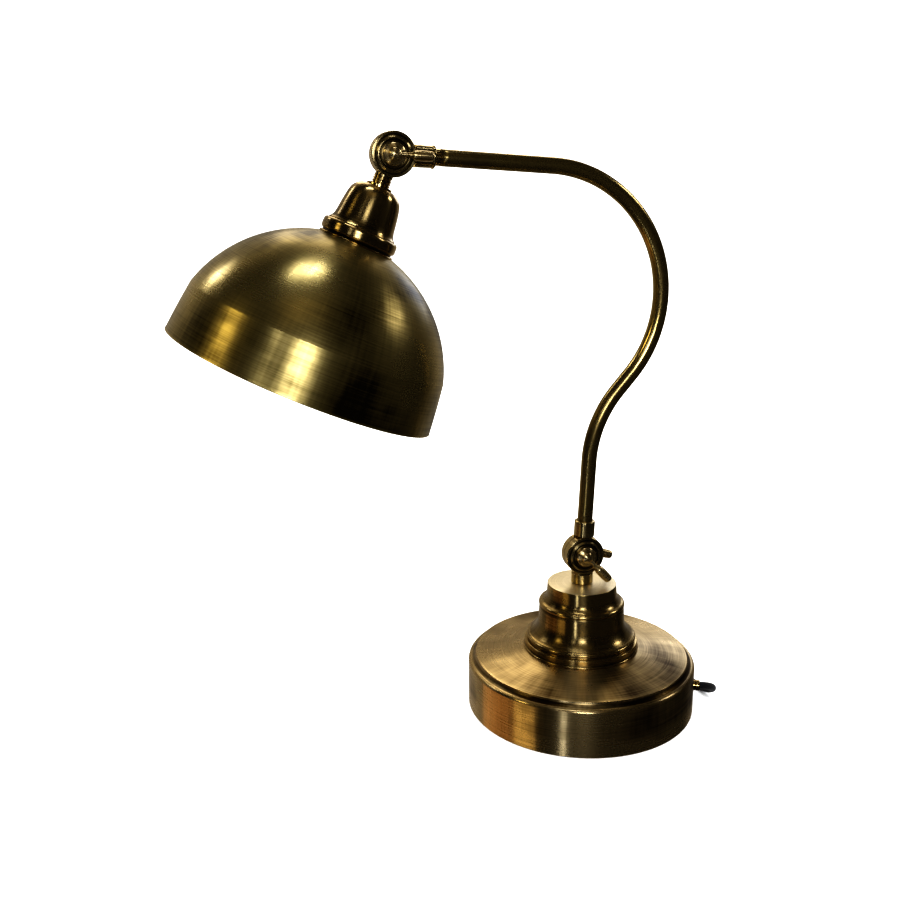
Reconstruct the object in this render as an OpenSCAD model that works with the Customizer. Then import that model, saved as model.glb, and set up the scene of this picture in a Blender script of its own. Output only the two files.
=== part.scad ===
// Dome shade desk lamp: a weighted round base with a turned collar, an S-bent arm tube held
// between two lever-clamped knuckles, and a spun dome shade under a bell-shaped socket cup.
// The origin is the middle of the base's underside, +Z is up, the arm bends in the XZ plane
// and the shade hangs towards -X. A heading is an angle from +Z towards +X, in degrees.

/* [Base] */
// Diameter of the base
base_d = 200; // [180:1:230]
// Height of the middle of the base's rim bead
rim_z = 40.2; // [36:0.1:46]
// Radius of the rim bead
bead_r = 2.5; // [1.5:0.1:3.5]
// Radius of the hollow step between the rim bead and the top plate
cove_r = 4.4; // [3:0.1:6]
// Rise of the conical top plate from its edge to the collar
cone_rise = 6.6; // [4:0.1:9]
// Thickness of the spun base shell
sheet_t = 1.5; // [1:0.1:2]
// Diameter of the cast weight
weight_d = 164; // [130:1:170]
// Thickness of the cast weight
weight_t = 18; // [12:0.5:20]

/* [Collar] */
// Diameter of the ring that the collar stands on
foot_ring_d = 99.4; // [92:0.2:110]
// Height of that ring
foot_ring_h = 7.6; // [5:0.1:10]
// Diameter of the collar's lower tier at its upper end
lower_tier_d = 74.4; // [68:0.2:80]
// Height from the ring to the collar's upper bead
lower_tier_h = 33.2; // [29:0.1:40]
// Diameter of the collar's upper tier
upper_tier_d = 60.4; // [54:0.2:64]
// Height from the upper bead to the collar's top
upper_tier_h = 18.6; // [15:0.1:24]
// Wall of the collar
collar_wall = 2.4; // [1.6:0.1:3]

/* [Knuckles] */
// Diameter of a knuckle's two discs
knuckle_d = 34; // [32:0.5:40]
// Thickness of one disc
disc_t = 7; // [6:0.1:8]
// Diameter of the clamping screw
bolt_d = 6; // [5:0.1:7]
// Diameter of the stub below the lower knuckle
stub_d = 18.8; // [17:0.1:21]
// Height of the stub between the collar and the lower knuckle's disc
stub_h = 9.7; // [8:0.1:14]
// Diameter of the lower socket
lower_socket_d = 17.8; // [16.5:0.1:19]
// Length of the lower socket beyond the disc
lower_socket_l = 13.5; // [11:0.1:18]
// Diameter of the upper socket at its mouth
upper_socket_d = 16.4; // [15.6:0.1:19]
// Length of the upper socket beyond the disc
upper_socket_l = 15.5; // [13:0.1:20]

/* [Levers] */
// Diameter of a lever's round hub
hub_d = 17.4; // [15:0.1:18]
// Distance from the joint's axis to a front lever's tip
lever_l = 29; // [27:0.1:36]
// Distance from the joint's axis to a rear lever's tip
rear_lever_l = 33.5; // [27:0.1:36]
// Length of a lever's grip
grip_l = 16; // [13:0.1:18]
// Diameter of a lever's grip
grip_d = 8; // [6:0.1:8.4]

/* [Arm] */
// Outside diameter of the arm tube
tube_d = 13; // [12:0.1:14]
// Wall of the arm tube
tube_wall = 1; // [0.8:0.1:1.4]
// Lean of the arm's stem at rest
stem_lean = 2.6; // [0:0.1:4]
// Length of the stem from the lower joint to the first bend
stem_l = 83.4; // [70:0.1:110]
// Radius of the lower bend
lower_bend_r = 100; // [80:1:120]
// Heading of the slanted run between the bends
slant = 40.6; // [32:0.1:44]
// Length of the slanted run
slant_l = 16.6; // [8:0.1:40]
// Radius of the upper bend
upper_bend_r = 103; // [90:1:115]
// Heading of the top run, towards the shade
top_heading = -85.9; // [-90:0.1:-82]
// Length of the top run up to the upper joint
top_l = 127.6; // [110:0.1:150]

/* [Shade] */
// Tilt of the shade's axis from straight down
shade_tilt = 24.5; // [15:0.1:32]
// Length of threaded stem that shows between the knuckle and the bell
stem_show = 9.5; // [7:0.1:12]
// Diameter of the threaded stem
stem_d = 14; // [12:0.1:14.5]
// Height of the bell
bell_h = 34; // [32:0.1:38]
// Diameter of the bell where its shoulder ends
bell_d = 41.4; // [41:0.1:44]
// Diameter of the bell at its foot
bell_foot_d = 46; // [45:0.1:49]
// Wall of the bell
bell_wall = 1.2; // [0.8:0.1:1.6]
// Diameter of the gallery's bead
gallery_d = 58; // [54:0.2:62]
// Height of the gallery
gallery_h = 11; // [9:0.1:13]
// Radius of the dome
dome_r = 108.4; // [100:0.2:116]
// Depth of the rim below the middle of the dome's sphere
rim_drop = 7.4; // [4:0.1:12]
// Diameter of the shade at its rim
rim_d = 217.2; // [212:0.2:224]
// Height of the nearly straight band above the rim
band_h = 39.5; // [30:0.5:48]
// Wall of the dome
dome_wall = 1.1; // [0.9:0.1:1.6]
// Diameter of the shade's rolled edge
roll_d = 2.6; // [2:0.1:3.4]

/* [Lampholder] */
// Diameter of the lampholder's skirt
holder_d = 38; // [37:0.1:39]
// Diameter of the bulb's screw cap
cap_d = 26.4; // [26:0.1:27]
// Diameter of the bulb's glass
bulb_d = 60; // [50:1:68]
// Length of the bulb with its cap
bulb_l = 107; // [98:1:110]

/* [Cord] */
// Diameter of the cord
cord_d = 6.5; // [5.5:0.1:6.5]
// Height of the gland's middle
gland_z = 20.5; // [18:0.1:24]
// Diameter of the gland outside the base
gland_d = 9.2; // [8.8:0.1:11]
// Length of the gland outside the base
gland_l = 5.6; // [4:0.1:8]

/* [Hidden] */
$fn = 96;

// Finishes
antique_brass = [0.52, 0.41, 0.23];
bright_brass = [0.70, 0.58, 0.35];
dark_brass = [0.36, 0.28, 0.16];
cast_iron = [0.24, 0.24, 0.25];
zinc_steel = [0.66, 0.67, 0.69];
felt_green = [0.12, 0.17, 0.13];
black_plastic = [0.06, 0.06, 0.065];
fibre_red = [0.35, 0.16, 0.11];
porcelain = [0.90, 0.89, 0.86];
opal_glass = [0.95, 0.94, 0.90, 0.6];
black_braid = [0.05, 0.05, 0.05];

// Clearances
run_gap = 0.05;     // radial gap of a shaft in its bore
seat_gap = 0.05;    // between pieces that are fastened together
body_gap = 0.3;     // between pieces that move past each other
big = 400;          // longer than any piece

// Base
base_r = base_d / 2;
felt_t = 1.95;
plate_t = 1.5;
shell_foot_z = 0.5;
step_z = rim_z + bead_r + 0.3;
plate_edge_r = base_r - bead_r - cove_r + 0.5;
plate_edge_z = step_z + cove_r;
plate_z = plate_edge_z + cone_rise;
plate_z0 = felt_t + seat_gap;
weight_z = plate_z0 + plate_t + seat_gap;
weight_top = weight_z + weight_t;
boss_r = 20;
centre_d = 10;
centre_bore_d = 5.2;
pocket_r = 13;
pocket_h = 9.5;
nut_h = 5;
washer_t = 1.6;
centre_nut_af = 15;
bottom_screw_d = 4;
bottom_screw_head_d = 7;
bottom_screw_l = 11;
bottom_screw_pcd = weight_d - 44;

// Collar
foot_r = foot_ring_d / 2;
collar_z = plate_z + foot_ring_h;
upper_bead_z = collar_z + lower_tier_h;
collar_top = upper_bead_z + upper_tier_h;
foot_bore_r = foot_r - 8;

// Knuckles
knuckle_r = knuckle_d / 2;
bolt_r = bolt_d / 2;
fibre_t = 0.8;
split = (fibre_t + body_gap) / 2;
disc_h = split + disc_t;
face_h = disc_h + 1.6;
seat_h = face_h - 1;
hub_r = hub_d / 2;
hub_h = seat_h + body_gap;
hub_side = 2.1;
hub_dome_r = 13.3;
knob_r = 4.9;
knob_dome_r = 6.5;
lever_h = hub_h + grip_d / 2 + 1.15;
neck_r = 1.7;
lower_front_heading = 137;
lower_rear_heading = 106;
upper_front_heading = 94.5;
upper_rear_heading = 94.1;
neck_gap = 0.4;
skin = 0.03;        // a neck's flat faces lie this far inside its disc's
socket_depth = 3;
cable_d = 4.8;
lower_joint = [0, collar_top + stub_h + knuckle_r];

// Arm path: each state is [x, z, heading]
tube_r = tube_d / 2;
function ahead(s, l) = [s[0] + l * sin(s[2]), s[1] + l * cos(s[2]), s[2]];
function around(s, r, h) =
    let (side = h > s[2] ? 1 : -1)
    [s[0] + side * r * (cos(s[2]) - cos(h)), s[1] - side * r * (sin(s[2]) - sin(h)), h];
stem_start = [lower_joint[0], lower_joint[1], stem_lean];
bend_1 = ahead(stem_start, stem_l);
slant_start = around(bend_1, lower_bend_r, slant);
bend_2 = ahead(slant_start, slant_l);
top_start = around(bend_2, upper_bend_r, top_heading);
upper_joint = ahead(top_start, top_l);
tube_in = knuckle_r + neck_gap + socket_depth;
adaptor_l = 4;
tube_out = knuckle_r + upper_socket_l + adaptor_l;
spigot_l = 8;
spigot_r = tube_r - tube_wall - run_gap;
lap = 0.1;          // a straight run reaches this far into a bend
slim = 0.01;        // a bend's skin lies this far inside a run's

// Shade, along its own axis from the upper joint
stem_r = stem_d / 2;
bell_top = knuckle_r + stem_show;
bell_foot = bell_top + bell_h;
shoulder_r = 10;
stem_end = bell_top + 10;
gallery_foot = bell_foot + gallery_h;
gallery_foot_r = 25.2;
dome_c = gallery_foot + sqrt(pow(dome_r, 2) - pow(gallery_foot_r, 2));
rim_t = dome_c + rim_drop;
crease_t = rim_t - band_h;
crease_r = sqrt(pow(dome_r, 2) - pow(dome_c - crease_t, 2));
holder_r = holder_d / 2;
holder_top = stem_end + 6;
holder_end = gallery_foot + 12;
cap_r = cap_d / 2;
cap_top = holder_top + 12;
cap_l = 26;
glass_t = cap_top + cap_l;
bulb_c = cap_top + bulb_l - bulb_d / 2;
shell_t = 0.9;
ring_nut_r = 27;
ring_nut_h = 8;     // to each side of the dome's crown, which cuts its upper side away

// Cord: routes are chosen points, in millimetres
cord_r = cord_d / 2;
gland_heading = -22;
gland_shank_r = cord_r + 0.85;
lead_start_r = 72;
function on_gland(r, rise = 0) =
    [r * cos(gland_heading), r * sin(gland_heading), gland_z + rise];
lead_route = concat(
    [on_gland(lead_start_r, 6.5), on_gland(75.8, 6.5), on_gland(79.3, 6), on_gland(82.4, 4.6),
     on_gland(85, 2.6), on_gland(87.6, 0.9), on_gland(90.3), on_gland(96),
     on_gland(base_r + gland_l)],
    [[102.6, -40.6, 20.1], [107.5, -39.8, 18.4], [111.6, -37.0, 15.6], [114.5, -32.8, 12.0],
     [115.7, -27.8, 8.6], [115.4, -22.6, 5.8], [114.2, -17.0, 4.1], [112.6, -10.5, 3.4],
     [110.8, -3.0, 3.3], [109.0, 6.0, 3.3], [107.7, 15.0, 3.5], [107.1, 24.0, 4.4],
     [107.0, 31.0, 5.9], [107.0, 36.5, 6.8], [107.0, 42.0, 7.0], [107.0, 47.0, 7.0]]);
link_route = [
    [107.0, 89.0, 7.0], [107.0, 94.0, 7.0], [106.8, 98.5, 6.7], [105.8, 103.5, 5.8],
    [103.6, 108.5, 4.7], [100.4, 113.0, 3.8], [97.0, 116.8, 3.5], [94.0, 120.4, 3.7],
    [92.0, 124.2, 4.1], [91.1, 128.0, 4.3], [91.1, 131.5, 4.3]];
tail_route = [
    [91.1, 144.5, 25.3], [91.1, 148.0, 25.3], [91.1, 153.5, 24.3], [91.0, 159.5, 21.4],
    [90.8, 166.0, 17.0], [90.4, 172.5, 12.7], [90.0, 179.0, 9.4], [89.5, 185.5, 7.5],
    [89.1, 192.0, 6.9], [89.0, 198.0, 6.9], [89.0, 212.0, 6.9]];
coil_c = [52, 138];
coil_z = 4.3;
coil_pitch = 7;
coil_turns = 7;
coil_layers = 4;
coil_out = 39.1;
coil_rings = 24;
turns_a_layer = coil_turns / coil_layers;
tie_t = 0.9;
tie_w = 12;

// Switch and plug
switch_c = [107, 68];
switch_l = 52;
switch_w = 23;
switch_h = 14;
switch_wall = 1.6;
rocker_l = 18;
rocker_w = 8;
rocker_tilt = 7;
rocker_pin_r = 1.5;
rocker_z = 9;
rocker_pin_l = switch_w / 2 - 0.6;
window_l = 21;
switch_seam = 7;
entry_l = 6;
plug_start = [89, 198];
plug_w = 35;
plug_t = 13.8;
plug_l = 26;
plug_relief_l = 16;
pin_d = 4;
pin_l = 19;
pin_gap = 18.6;

// ---- shared shapes -------------------------------------------------------------------------

// Turns a profile of [radius, height] round +Z.
module turned() {
    rotate_extrude() intersection() {
        children();
        translate([0, -big]) square([big, 2 * big]);
    }
}

// A flat block of profile between two radii and two heights.
module band(r0, r1, h0, h1) {
    translate([r0, h0]) square([r1 - r0, h1 - h0]);
}

// Puts a knuckle piece on its joint: local +Z points to the front (-Y) or to the rear (+Y).
module facing(joint, front) {
    translate([joint[0], 0, joint[1]]) rotate([front ? 90 : -90, 0, 0]) children();
}

// Local +Z points along a heading from a joint.
module towards(joint, heading) {
    translate([joint[0], 0, joint[1]]) rotate([0, heading, 0]) children();
}

// Local +Z runs down the shade's axis from the upper joint.
module on_shade() {
    towards(upper_joint, 180 + shade_tilt) children();
}

module hex_nut(af, bore_r, h) {
    difference() {
        cylinder(d = af / cos(30), h = h, $fn = 6);
        translate([0, 0, -1]) cylinder(r = bore_r, h = h + 2);
    }
}

// ---- base ----------------------------------------------------------------------------------

// Profile of the spun shell's outside: side wall, rim bead, hollow step and conical plate.
module shell_outline() {
    difference() {
        union() {
            polygon([
                [0, shell_foot_z], [base_r, shell_foot_z], [base_r, rim_z],
                [base_r - bead_r, rim_z], [base_r - bead_r, step_z],
                [plate_edge_r + cove_r, step_z], [plate_edge_r + cove_r, step_z + 0.01],
                [plate_edge_r, plate_edge_z - 0.5], [plate_edge_r - 0.5, plate_edge_z],
                [foot_r + 1, plate_z], [0, plate_z]
            ]);
            translate([base_r - bead_r, rim_z]) circle(bead_r);
            band(plate_edge_r, plate_edge_r + cove_r, step_z - 1, plate_edge_z - 0.5);
        }
        translate([plate_edge_r + cove_r, plate_edge_z]) circle(cove_r);
    }
}

// Profile of the space under the shell.
module shell_inside() {
    polygon([
        [0, -1], [base_r - sheet_t, -1], [base_r - sheet_t, rim_z - 1],
        [plate_edge_r - sheet_t, plate_edge_z - 2 * sheet_t], [foot_r, plate_z - sheet_t],
        [0, plate_z - sheet_t]
    ]);
}

module base_shell() {
    color(antique_brass) difference() {
        turned() difference() {
            shell_outline();
            shell_inside();
            band(-1, centre_d / 2 + 0.3, plate_z - big, plate_z + 1);
        }
        rotate([0, 0, gland_heading]) translate([base_r - 10, 0, gland_z]) rotate([0, 90, 0])
            cylinder(r = gland_shank_r + run_gap, h = 20);
    }
}

module base_weight() {
    top_edge = 2;
    color(cast_iron) difference() {
        turned() difference() {
            polygon([
                [0, weight_z], [weight_d / 2, weight_z], [weight_d / 2, weight_top - top_edge],
                [weight_d / 2 - top_edge, weight_top], [boss_r + 3, weight_top],
                [boss_r, weight_top + 3], [boss_r, plate_z - sheet_t - seat_gap],
                [0, plate_z - sheet_t - seat_gap]
            ]);
            band(-1, centre_d / 2 + 0.2, 0, big);
            band(-1, pocket_r, 0, weight_z + pocket_h);
        }
        bottom_screw_places() cylinder(d = bottom_screw_d + 0.1, h = bottom_screw_l + 1);
    }
}

module bottom_screw_places() {
    for (a = [0 : 120 : 240])
        rotate([0, 0, a]) translate([bottom_screw_pcd / 2, 0, plate_z0]) children();
}

module countersunk_screw(d, head_d, l) {
    cylinder(d1 = head_d, d2 = d, h = (head_d - d) / 2);
    cylinder(d = d, h = l);
}

module bottom_plate() {
    color(zinc_steel) difference() {
        translate([0, 0, plate_z0]) cylinder(r = base_r - sheet_t - 0.6, h = plate_t);
        bottom_screw_places() translate([0, 0, -0.01])
            countersunk_screw(bottom_screw_d + 0.2, bottom_screw_head_d + 0.2, plate_t + 1);
    }
}

module bottom_screws() {
    color(zinc_steel) bottom_screw_places()
        countersunk_screw(bottom_screw_d, bottom_screw_head_d, bottom_screw_l);
}

module felt_pad() {
    color(felt_green) cylinder(r = base_r - sheet_t - 2, h = felt_t);
}

module centre_tube() {
    color(dark_brass) translate([0, 0, weight_z + 1.5]) difference() {
        cylinder(d = centre_d, h = collar_top + stub_h - 2 - weight_z - 1.5);
        translate([0, 0, -1]) cylinder(d = centre_bore_d, h = big);
    }
}

module centre_washer() {
    color(zinc_steel) translate([0, 0, weight_z + pocket_h - seat_gap - washer_t]) difference() {
        cylinder(r = pocket_r - 2, h = washer_t);
        translate([0, 0, -1]) cylinder(d = centre_d + 0.3, h = washer_t + 2);
    }
}

module centre_nut() {
    color(zinc_steel) translate([0, 0, weight_z + pocket_h - 2 * seat_gap - washer_t - nut_h])
        hex_nut(centre_nut_af, centre_d / 2 + run_gap, nut_h);
}

module terminal_block() {
    block = [20, 16, 16];
    translate_r = lead_start_r - block[0] - seat_gap;
    color(porcelain) rotate([0, 0, gland_heading]) translate([translate_r, 0, weight_top + seat_gap])
        difference() {
            translate([0, -block[1] / 2, 0]) cube(block);
            for (y = [-4.2, 4.2]) {
                translate([block[0] / 2, y, 6]) cylinder(d = 3.4, h = block[2]);
                translate([-1, y, 5]) rotate([0, 90, 0]) cylinder(d = 2.6, h = block[0] + 2);
            }
        }
}

// ---- collar --------------------------------------------------------------------------------

module foot_ring() {
    lip = 0.9;
    color(antique_brass) turned() difference() {
        union() {
            band(foot_bore_r, foot_r, plate_z + seat_gap, collar_z - 0.7);
            band(foot_bore_r, foot_r - 0.7, collar_z - 2, collar_z);
            translate([foot_r - 0.7, collar_z - 0.7]) circle(0.7);
            translate([foot_r, plate_z + seat_gap + lip]) circle(lip);
        }
        translate([foot_bore_r, plate_z + seat_gap - big]) square([big, big]);
    }
}

// Profile of the collar's outside: two tiers, each flaring in a hollow to a rounded bead.
module collar_outline() {
    low_bead = 1.6;
    up_bead = 2.4;
    low_cove = 13;
    up_cove = 6.5;
    low_r = lower_tier_d / 2;
    up_r = upper_tier_d / 2;
    low_wall_z = collar_z + 4.8 + low_cove;
    up_wall_z = upper_bead_z + up_bead + up_cove - 0.2;
    bead_out = foot_r - 1.7;
    edge = 0.7;
    difference() {
        union() {
            band(0, foot_r - 3, collar_z + seat_gap, collar_z + 5);
            translate([bead_out - low_bead, collar_z + 3.2]) circle(low_bead);
            band(0, bead_out - low_bead, collar_z + 1, collar_z + 4.8);
            polygon([
                [0, collar_z + 4.6], [low_r + 9.4, collar_z + 4.6], [low_r + 9.4, collar_z + 5.6],
                [low_r + 0.5, low_wall_z], [low_r, upper_bead_z], [0, upper_bead_z]
            ]);
            translate([low_r + 0.4 - up_bead, upper_bead_z]) circle(up_bead);
            band(0, low_r + 0.4 - up_bead, upper_bead_z - 1, upper_bead_z + up_bead);
            polygon([
                [0, upper_bead_z + up_bead - 0.2], [up_r + 5.2, upper_bead_z + up_bead - 0.2],
                [up_r + 0.5, up_wall_z], [up_r, collar_top - edge], [0, collar_top - edge]
            ]);
            translate([up_r - edge, collar_top - edge]) circle(edge);
            band(0, up_r - edge, collar_top - 3, collar_top);
        }
        translate([low_r + 0.5 + low_cove, low_wall_z]) circle(low_cove);
        translate([up_r + 0.5 + up_cove, up_wall_z]) circle(up_cove);
    }
}

module collar() {
    low_in = lower_tier_d / 2 - collar_wall;
    up_in = upper_tier_d / 2 - collar_wall;
    color(antique_brass) turned() difference() {
        collar_outline();
        polygon([
            [-1, collar_z - 1], [foot_r - 8, collar_z - 1], [foot_r - 8, collar_z + 2],
            [low_in, collar_z + 16], [low_in, upper_bead_z - 1], [up_in, upper_bead_z + 6],
            [up_in, collar_top - collar_wall], [-1, collar_top - collar_wall]
        ]);
        band(-1, centre_d / 2 + 0.2, collar_z, big);
    }
}

// ---- cord gland ----------------------------------------------------------------------------

module on_wall() {
    rotate([0, 0, gland_heading]) translate([0, 0, gland_z]) rotate([0, 90, 0]) children();
}

module cord_gland() {
    r = gland_d / 2;
    round_r = 1;
    out = base_r + gland_l;
    color(bright_brass) on_wall() turned() difference() {
        union() {
            band(0, gland_shank_r, base_r - 9, base_r + 1);
            band(0, r, base_r + 0.02, out - round_r);
            band(0, r - round_r, base_r + 1, out);
            translate([r - round_r, out - round_r]) circle(round_r);
        }
        band(-1, cord_r + run_gap, 0, big);
    }
}

module gland_nut() {
    wall_in = base_r - sheet_t;
    color(zinc_steel) on_wall() translate([0, 0, wall_in - 0.35 - 3.5])
        hex_nut(12.5, gland_shank_r + run_gap, 3.5);
}

// ---- knuckles ------------------------------------------------------------------------------

// Profile of one knuckle disc: flat rim, bevelled ring, groove and a seat for the lever's hub,
// with a hollow round the screw where the wires cross from one disc to the other.
module disc_outline() {
    edge = 0.8;
    ring_out = knuckle_r - 2.8;
    ring_in = knuckle_r - 4.7;
    difference() {
        union() {
            band(0, knuckle_r, split, disc_h - edge);
            band(0, knuckle_r - edge, disc_h - 2, disc_h);
            translate([knuckle_r - edge, disc_h - edge]) circle(edge);
            polygon([
                [0, disc_h - 1], [ring_out, disc_h - 1], [ring_out, disc_h],
                [ring_in, face_h], [0, face_h]
            ]);
        }
        band(-1, hub_r + 1, seat_h, big);
        translate([hub_r + 1.9, face_h]) circle(0.9);
        band(-1, bolt_r + run_gap, -big, big);
        band(bolt_r + 2.5, knuckle_r - 5.5, -big, split + disc_t * 0.55);
    }
}

// One disc with its neck: the neck is whole beyond the other disc and halved beside it.
module half_knuckle(joint, front, heading) {
    side = front ? -1 : 1;
    difference() {
        union() {
            facing(joint, front) turned() disc_outline();
            towards(joint, heading) {
                translate([0, 0, knuckle_r + neck_gap]) children(0);
                intersection() {
                    translate([0, 0, knuckle_r - 7]) children(1);
                    translate([-big / 2, (side > 0 ? split : -disc_h) + skin, 0])
                        cube([big, disc_t - 2 * skin, knuckle_r + neck_gap + 0.5]);
                }
            }
        }
        towards(joint, heading) translate([0, 0, bolt_r + 4]) cylinder(d = cable_d + 0.1, h = 30);
    }
}

// The base's half: the stub stands on the collar.
module lower_knuckle_base() {
    foot = 1.2;
    r = stub_d / 2;
    reach = stub_h - neck_gap;
    color(antique_brass) difference() {
        half_knuckle(lower_joint, true, 180) {
            turned() polygon([
                [0, 0], [r, 0], [r, reach - foot], [r - foot, reach - seat_gap], [0, reach - seat_gap]
            ]);
            cylinder(r = r - 0.1, h = 10);
        }
        translate([0, 0, collar_top - 1]) cylinder(d = centre_d + 0.1, h = stub_h - 0.8);
    }
}

// A socket's profile, with a rounded mouth and a bore for the tube.
module socket_profile(r_root, r_mouth, l, lip, bore_r) {
    difference() {
        union() {
            polygon([[0, 0], [r_root, 0], [r_mouth, l - lip], [0, l - lip]]);
            translate([r_mouth - lip, l - lip]) circle(lip);
            band(0, r_mouth - lip, l - lip - 1, l);
        }
        band(-1, bore_r, socket_depth, big);
    }
}

module lower_knuckle_arm() {
    r = lower_socket_d / 2;
    color(antique_brass) half_knuckle(lower_joint, false, stem_lean) {
        turned() socket_profile(r, r, lower_socket_l - neck_gap, 1.1, tube_r + run_gap);
        cylinder(r = r - 0.1, h = 10);
    }
}

module upper_knuckle_arm() {
    r = upper_socket_d / 2;
    l = upper_socket_l - neck_gap;
    root_r = r + 0.3;
    bead = 1.3;
    color(antique_brass) half_knuckle(upper_joint, false, 180 + top_heading) {
        turned() difference() {
            union() {
                polygon([[0, 0], [root_r, 0], [root_r, 1], [r, l - bead], [0, l - bead]]);
                translate([r - 0.6, l - bead]) circle(bead);
                band(0, r - 0.6, l - bead - 0.5, l);
            }
            band(-1, spigot_r + run_gap, socket_depth, big);
        }
        cylinder(r = root_r - 0.1, h = 10);
    }
}

module fibre_washer(joint) {
    facing(joint, false) translate([0, 0, split - fibre_t]) difference() {
        cylinder(r = knuckle_r - 1.2, h = fibre_t);
        translate([0, 0, -1]) cylinder(r = knuckle_r - 5, h = fibre_t + 2);
    }
}

module lower_friction_washer() {
    color(fibre_red) fibre_washer(lower_joint);
}

module upper_friction_washer() {
    color(fibre_red) fibre_washer(upper_joint);
}

// ---- clamping levers -----------------------------------------------------------------------

// Profile of a lever's hub: a low dome with a rounded knob on it.
module hub_profile() {
    dome_z = hub_h + hub_side - sqrt(pow(hub_dome_r, 2) - pow(hub_r, 2));
    knob_z = dome_z + sqrt(pow(hub_dome_r, 2) - pow(knob_r, 2)) + 0.4;
    intersection() {
        translate([0, dome_z]) circle(hub_dome_r);
        band(0, hub_r, hub_h, big);
    }
    band(0, knob_r, hub_h + 1, knob_z);
    intersection() {
        translate([0, knob_z - sqrt(pow(knob_dome_r, 2) - pow(knob_r, 2))]) circle(knob_dome_r);
        band(0, knob_r, hub_h + 1, big);
    }
}

// Profile of a lever along its own axis: thin neck and a barrel-shaped grip.
module lever_profile(l) {
    r = grip_d / 2;
    start = l - grip_l;
    bulge = 60;
    band(0, neck_r, 2, start + 1);
    polygon([[0, start - 4], [neck_r, start - 4], [neck_r + 0.9, start + 0.2], [0, start + 0.2]]);
    intersection() {
        translate([r - bulge, l - grip_l / 2]) circle(bulge);
        polygon([
            [0, start], [r - 1.2, start], [r, start + 1.4], [r, l - 1.4],
            [r - 1.2, l], [0, l]
        ]);
    }
}

module lever(joint, front, heading) {
    facing(joint, front) turned() hub_profile();
    translate([0, front ? -lever_h : lever_h, 0]) towards(joint, heading)
        turned() lever_profile(front ? lever_l : rear_lever_l);
}

module lever_screw(joint, heading) {
    shank_l = hub_h + seat_h + 5;
    color(antique_brass) union() {
        lever(joint, true, heading);
        facing(joint, true) translate([0, 0, hub_h + 1 - shank_l]) cylinder(r = bolt_r, h = shank_l);
    }
}

module lever_nut(joint, heading) {
    color(antique_brass) difference() {
        lever(joint, false, heading);
        facing(joint, false) cylinder(r = bolt_r + run_gap, h = seat_h + 5);
    }
}

module lower_lever_screw() {
    lever_screw(lower_joint, lower_front_heading);
}

module lower_lever_nut() {
    lever_nut(lower_joint, lower_rear_heading);
}

module upper_lever_screw() {
    lever_screw(upper_joint, upper_front_heading);
}

module upper_lever_nut() {
    lever_nut(upper_joint, upper_rear_heading);
}

// ---- arm -----------------------------------------------------------------------------------

// A straight piece of pipe along +Z.
module pipe_run(l, r, bore) {
    difference() {
        translate([0, 0, -lap]) cylinder(r = r, h = l + 2 * lap);
        if (bore > 0) translate([0, 0, -1]) cylinder(r = bore, h = l + 2);
    }
}

// A bend of pipe that leaves +Z for +X, or for -X with a negative turn; children follow it.
module pipe_bend(bend_r, turn, r, bore) {
    side = turn > 0 ? 1 : -1;
    rotate([0, 0, turn > 0 ? 180 : 0]) translate([-bend_r, 0, 0]) rotate([90, 0, 0])
        rotate_extrude(angle = abs(turn)) translate([bend_r, 0]) difference() {
            circle(r - slim);
            if (bore > 0) circle(bore + slim);
        }
    translate([side * bend_r, 0, 0]) rotate([0, turn, 0]) translate([-side * bend_r, 0, 0])
        children();
}

// The whole S from one distance past the lower joint to another before the upper joint.
module arm_path(from_low, from_up, r, bore) {
    towards(lower_joint, stem_lean) {
        translate([0, 0, from_low]) pipe_run(stem_l - from_low, r, bore);
        translate([0, 0, stem_l]) pipe_bend(lower_bend_r, slant - stem_lean, r, bore) {
            pipe_run(slant_l, r, bore);
            translate([0, 0, slant_l]) pipe_bend(upper_bend_r, top_heading - slant, r, bore)
                pipe_run(top_l - from_up, r, bore);
        }
    }
}

module arm_tube() {
    color(antique_brass) arm_path(tube_in + seat_gap + lap, tube_out + lap, tube_r, tube_r - tube_wall);
}

module arm_cable() {
    color(black_plastic) arm_path(knuckle_r + 1, knuckle_r + 1, cable_d / 2, 0);
}

// The threaded piece that joins the tube to the upper socket, with a plain ring that shows.
module tube_adaptor() {
    ring_r = tube_r - 0.2;
    socket_mouth = knuckle_r + upper_socket_l;
    color(bright_brass) towards(upper_joint, 180 + top_heading) turned() difference() {
        union() {
            band(0, spigot_r, socket_mouth - spigot_l, tube_out + spigot_l);
            band(0, ring_r, socket_mouth + seat_gap, tube_out - seat_gap);
        }
        band(-1, cable_d / 2 + run_gap, 0, big);
    }
}

// ---- head ----------------------------------------------------------------------------------

module upper_knuckle_head() {
    color(antique_brass) difference() {
        half_knuckle(upper_joint, true, 180 + shade_tilt) {
            cylinder(r = stem_r, h = stem_end - knuckle_r - neck_gap);
            cylinder(r = stem_r - 0.1, h = 10);
        }
        on_shade() translate([0, 0, knuckle_r]) cylinder(d = cable_d + 0.1, h = 40);
    }
}

module stem_washer() {
    color(bright_brass) on_shade() turned()
        band(stem_r + run_gap, stem_r + 3, bell_top - 1.5 - seat_gap, bell_top - seat_gap);
}

module stem_nut() {
    color(zinc_steel) on_shade() translate([0, 0, bell_top + bell_wall + seat_gap])
        hex_nut(18, stem_r + run_gap, 5);
}

// Profile of the bell: flat crown, round shoulder, slowly widening wall and flared foot.
module bell_outline(inset) {
    r = bell_d / 2 - inset;
    foot = bell_foot_d / 2 - inset;
    shoulder = shoulder_r - inset;
    centre = bell_top + shoulder_r;
    band(0, r - shoulder, bell_top + inset, bell_foot);
    translate([r - shoulder, centre]) circle(shoulder);
    polygon([[0, centre], [r, centre], [foot, bell_foot], [0, bell_foot]]);
}

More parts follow.
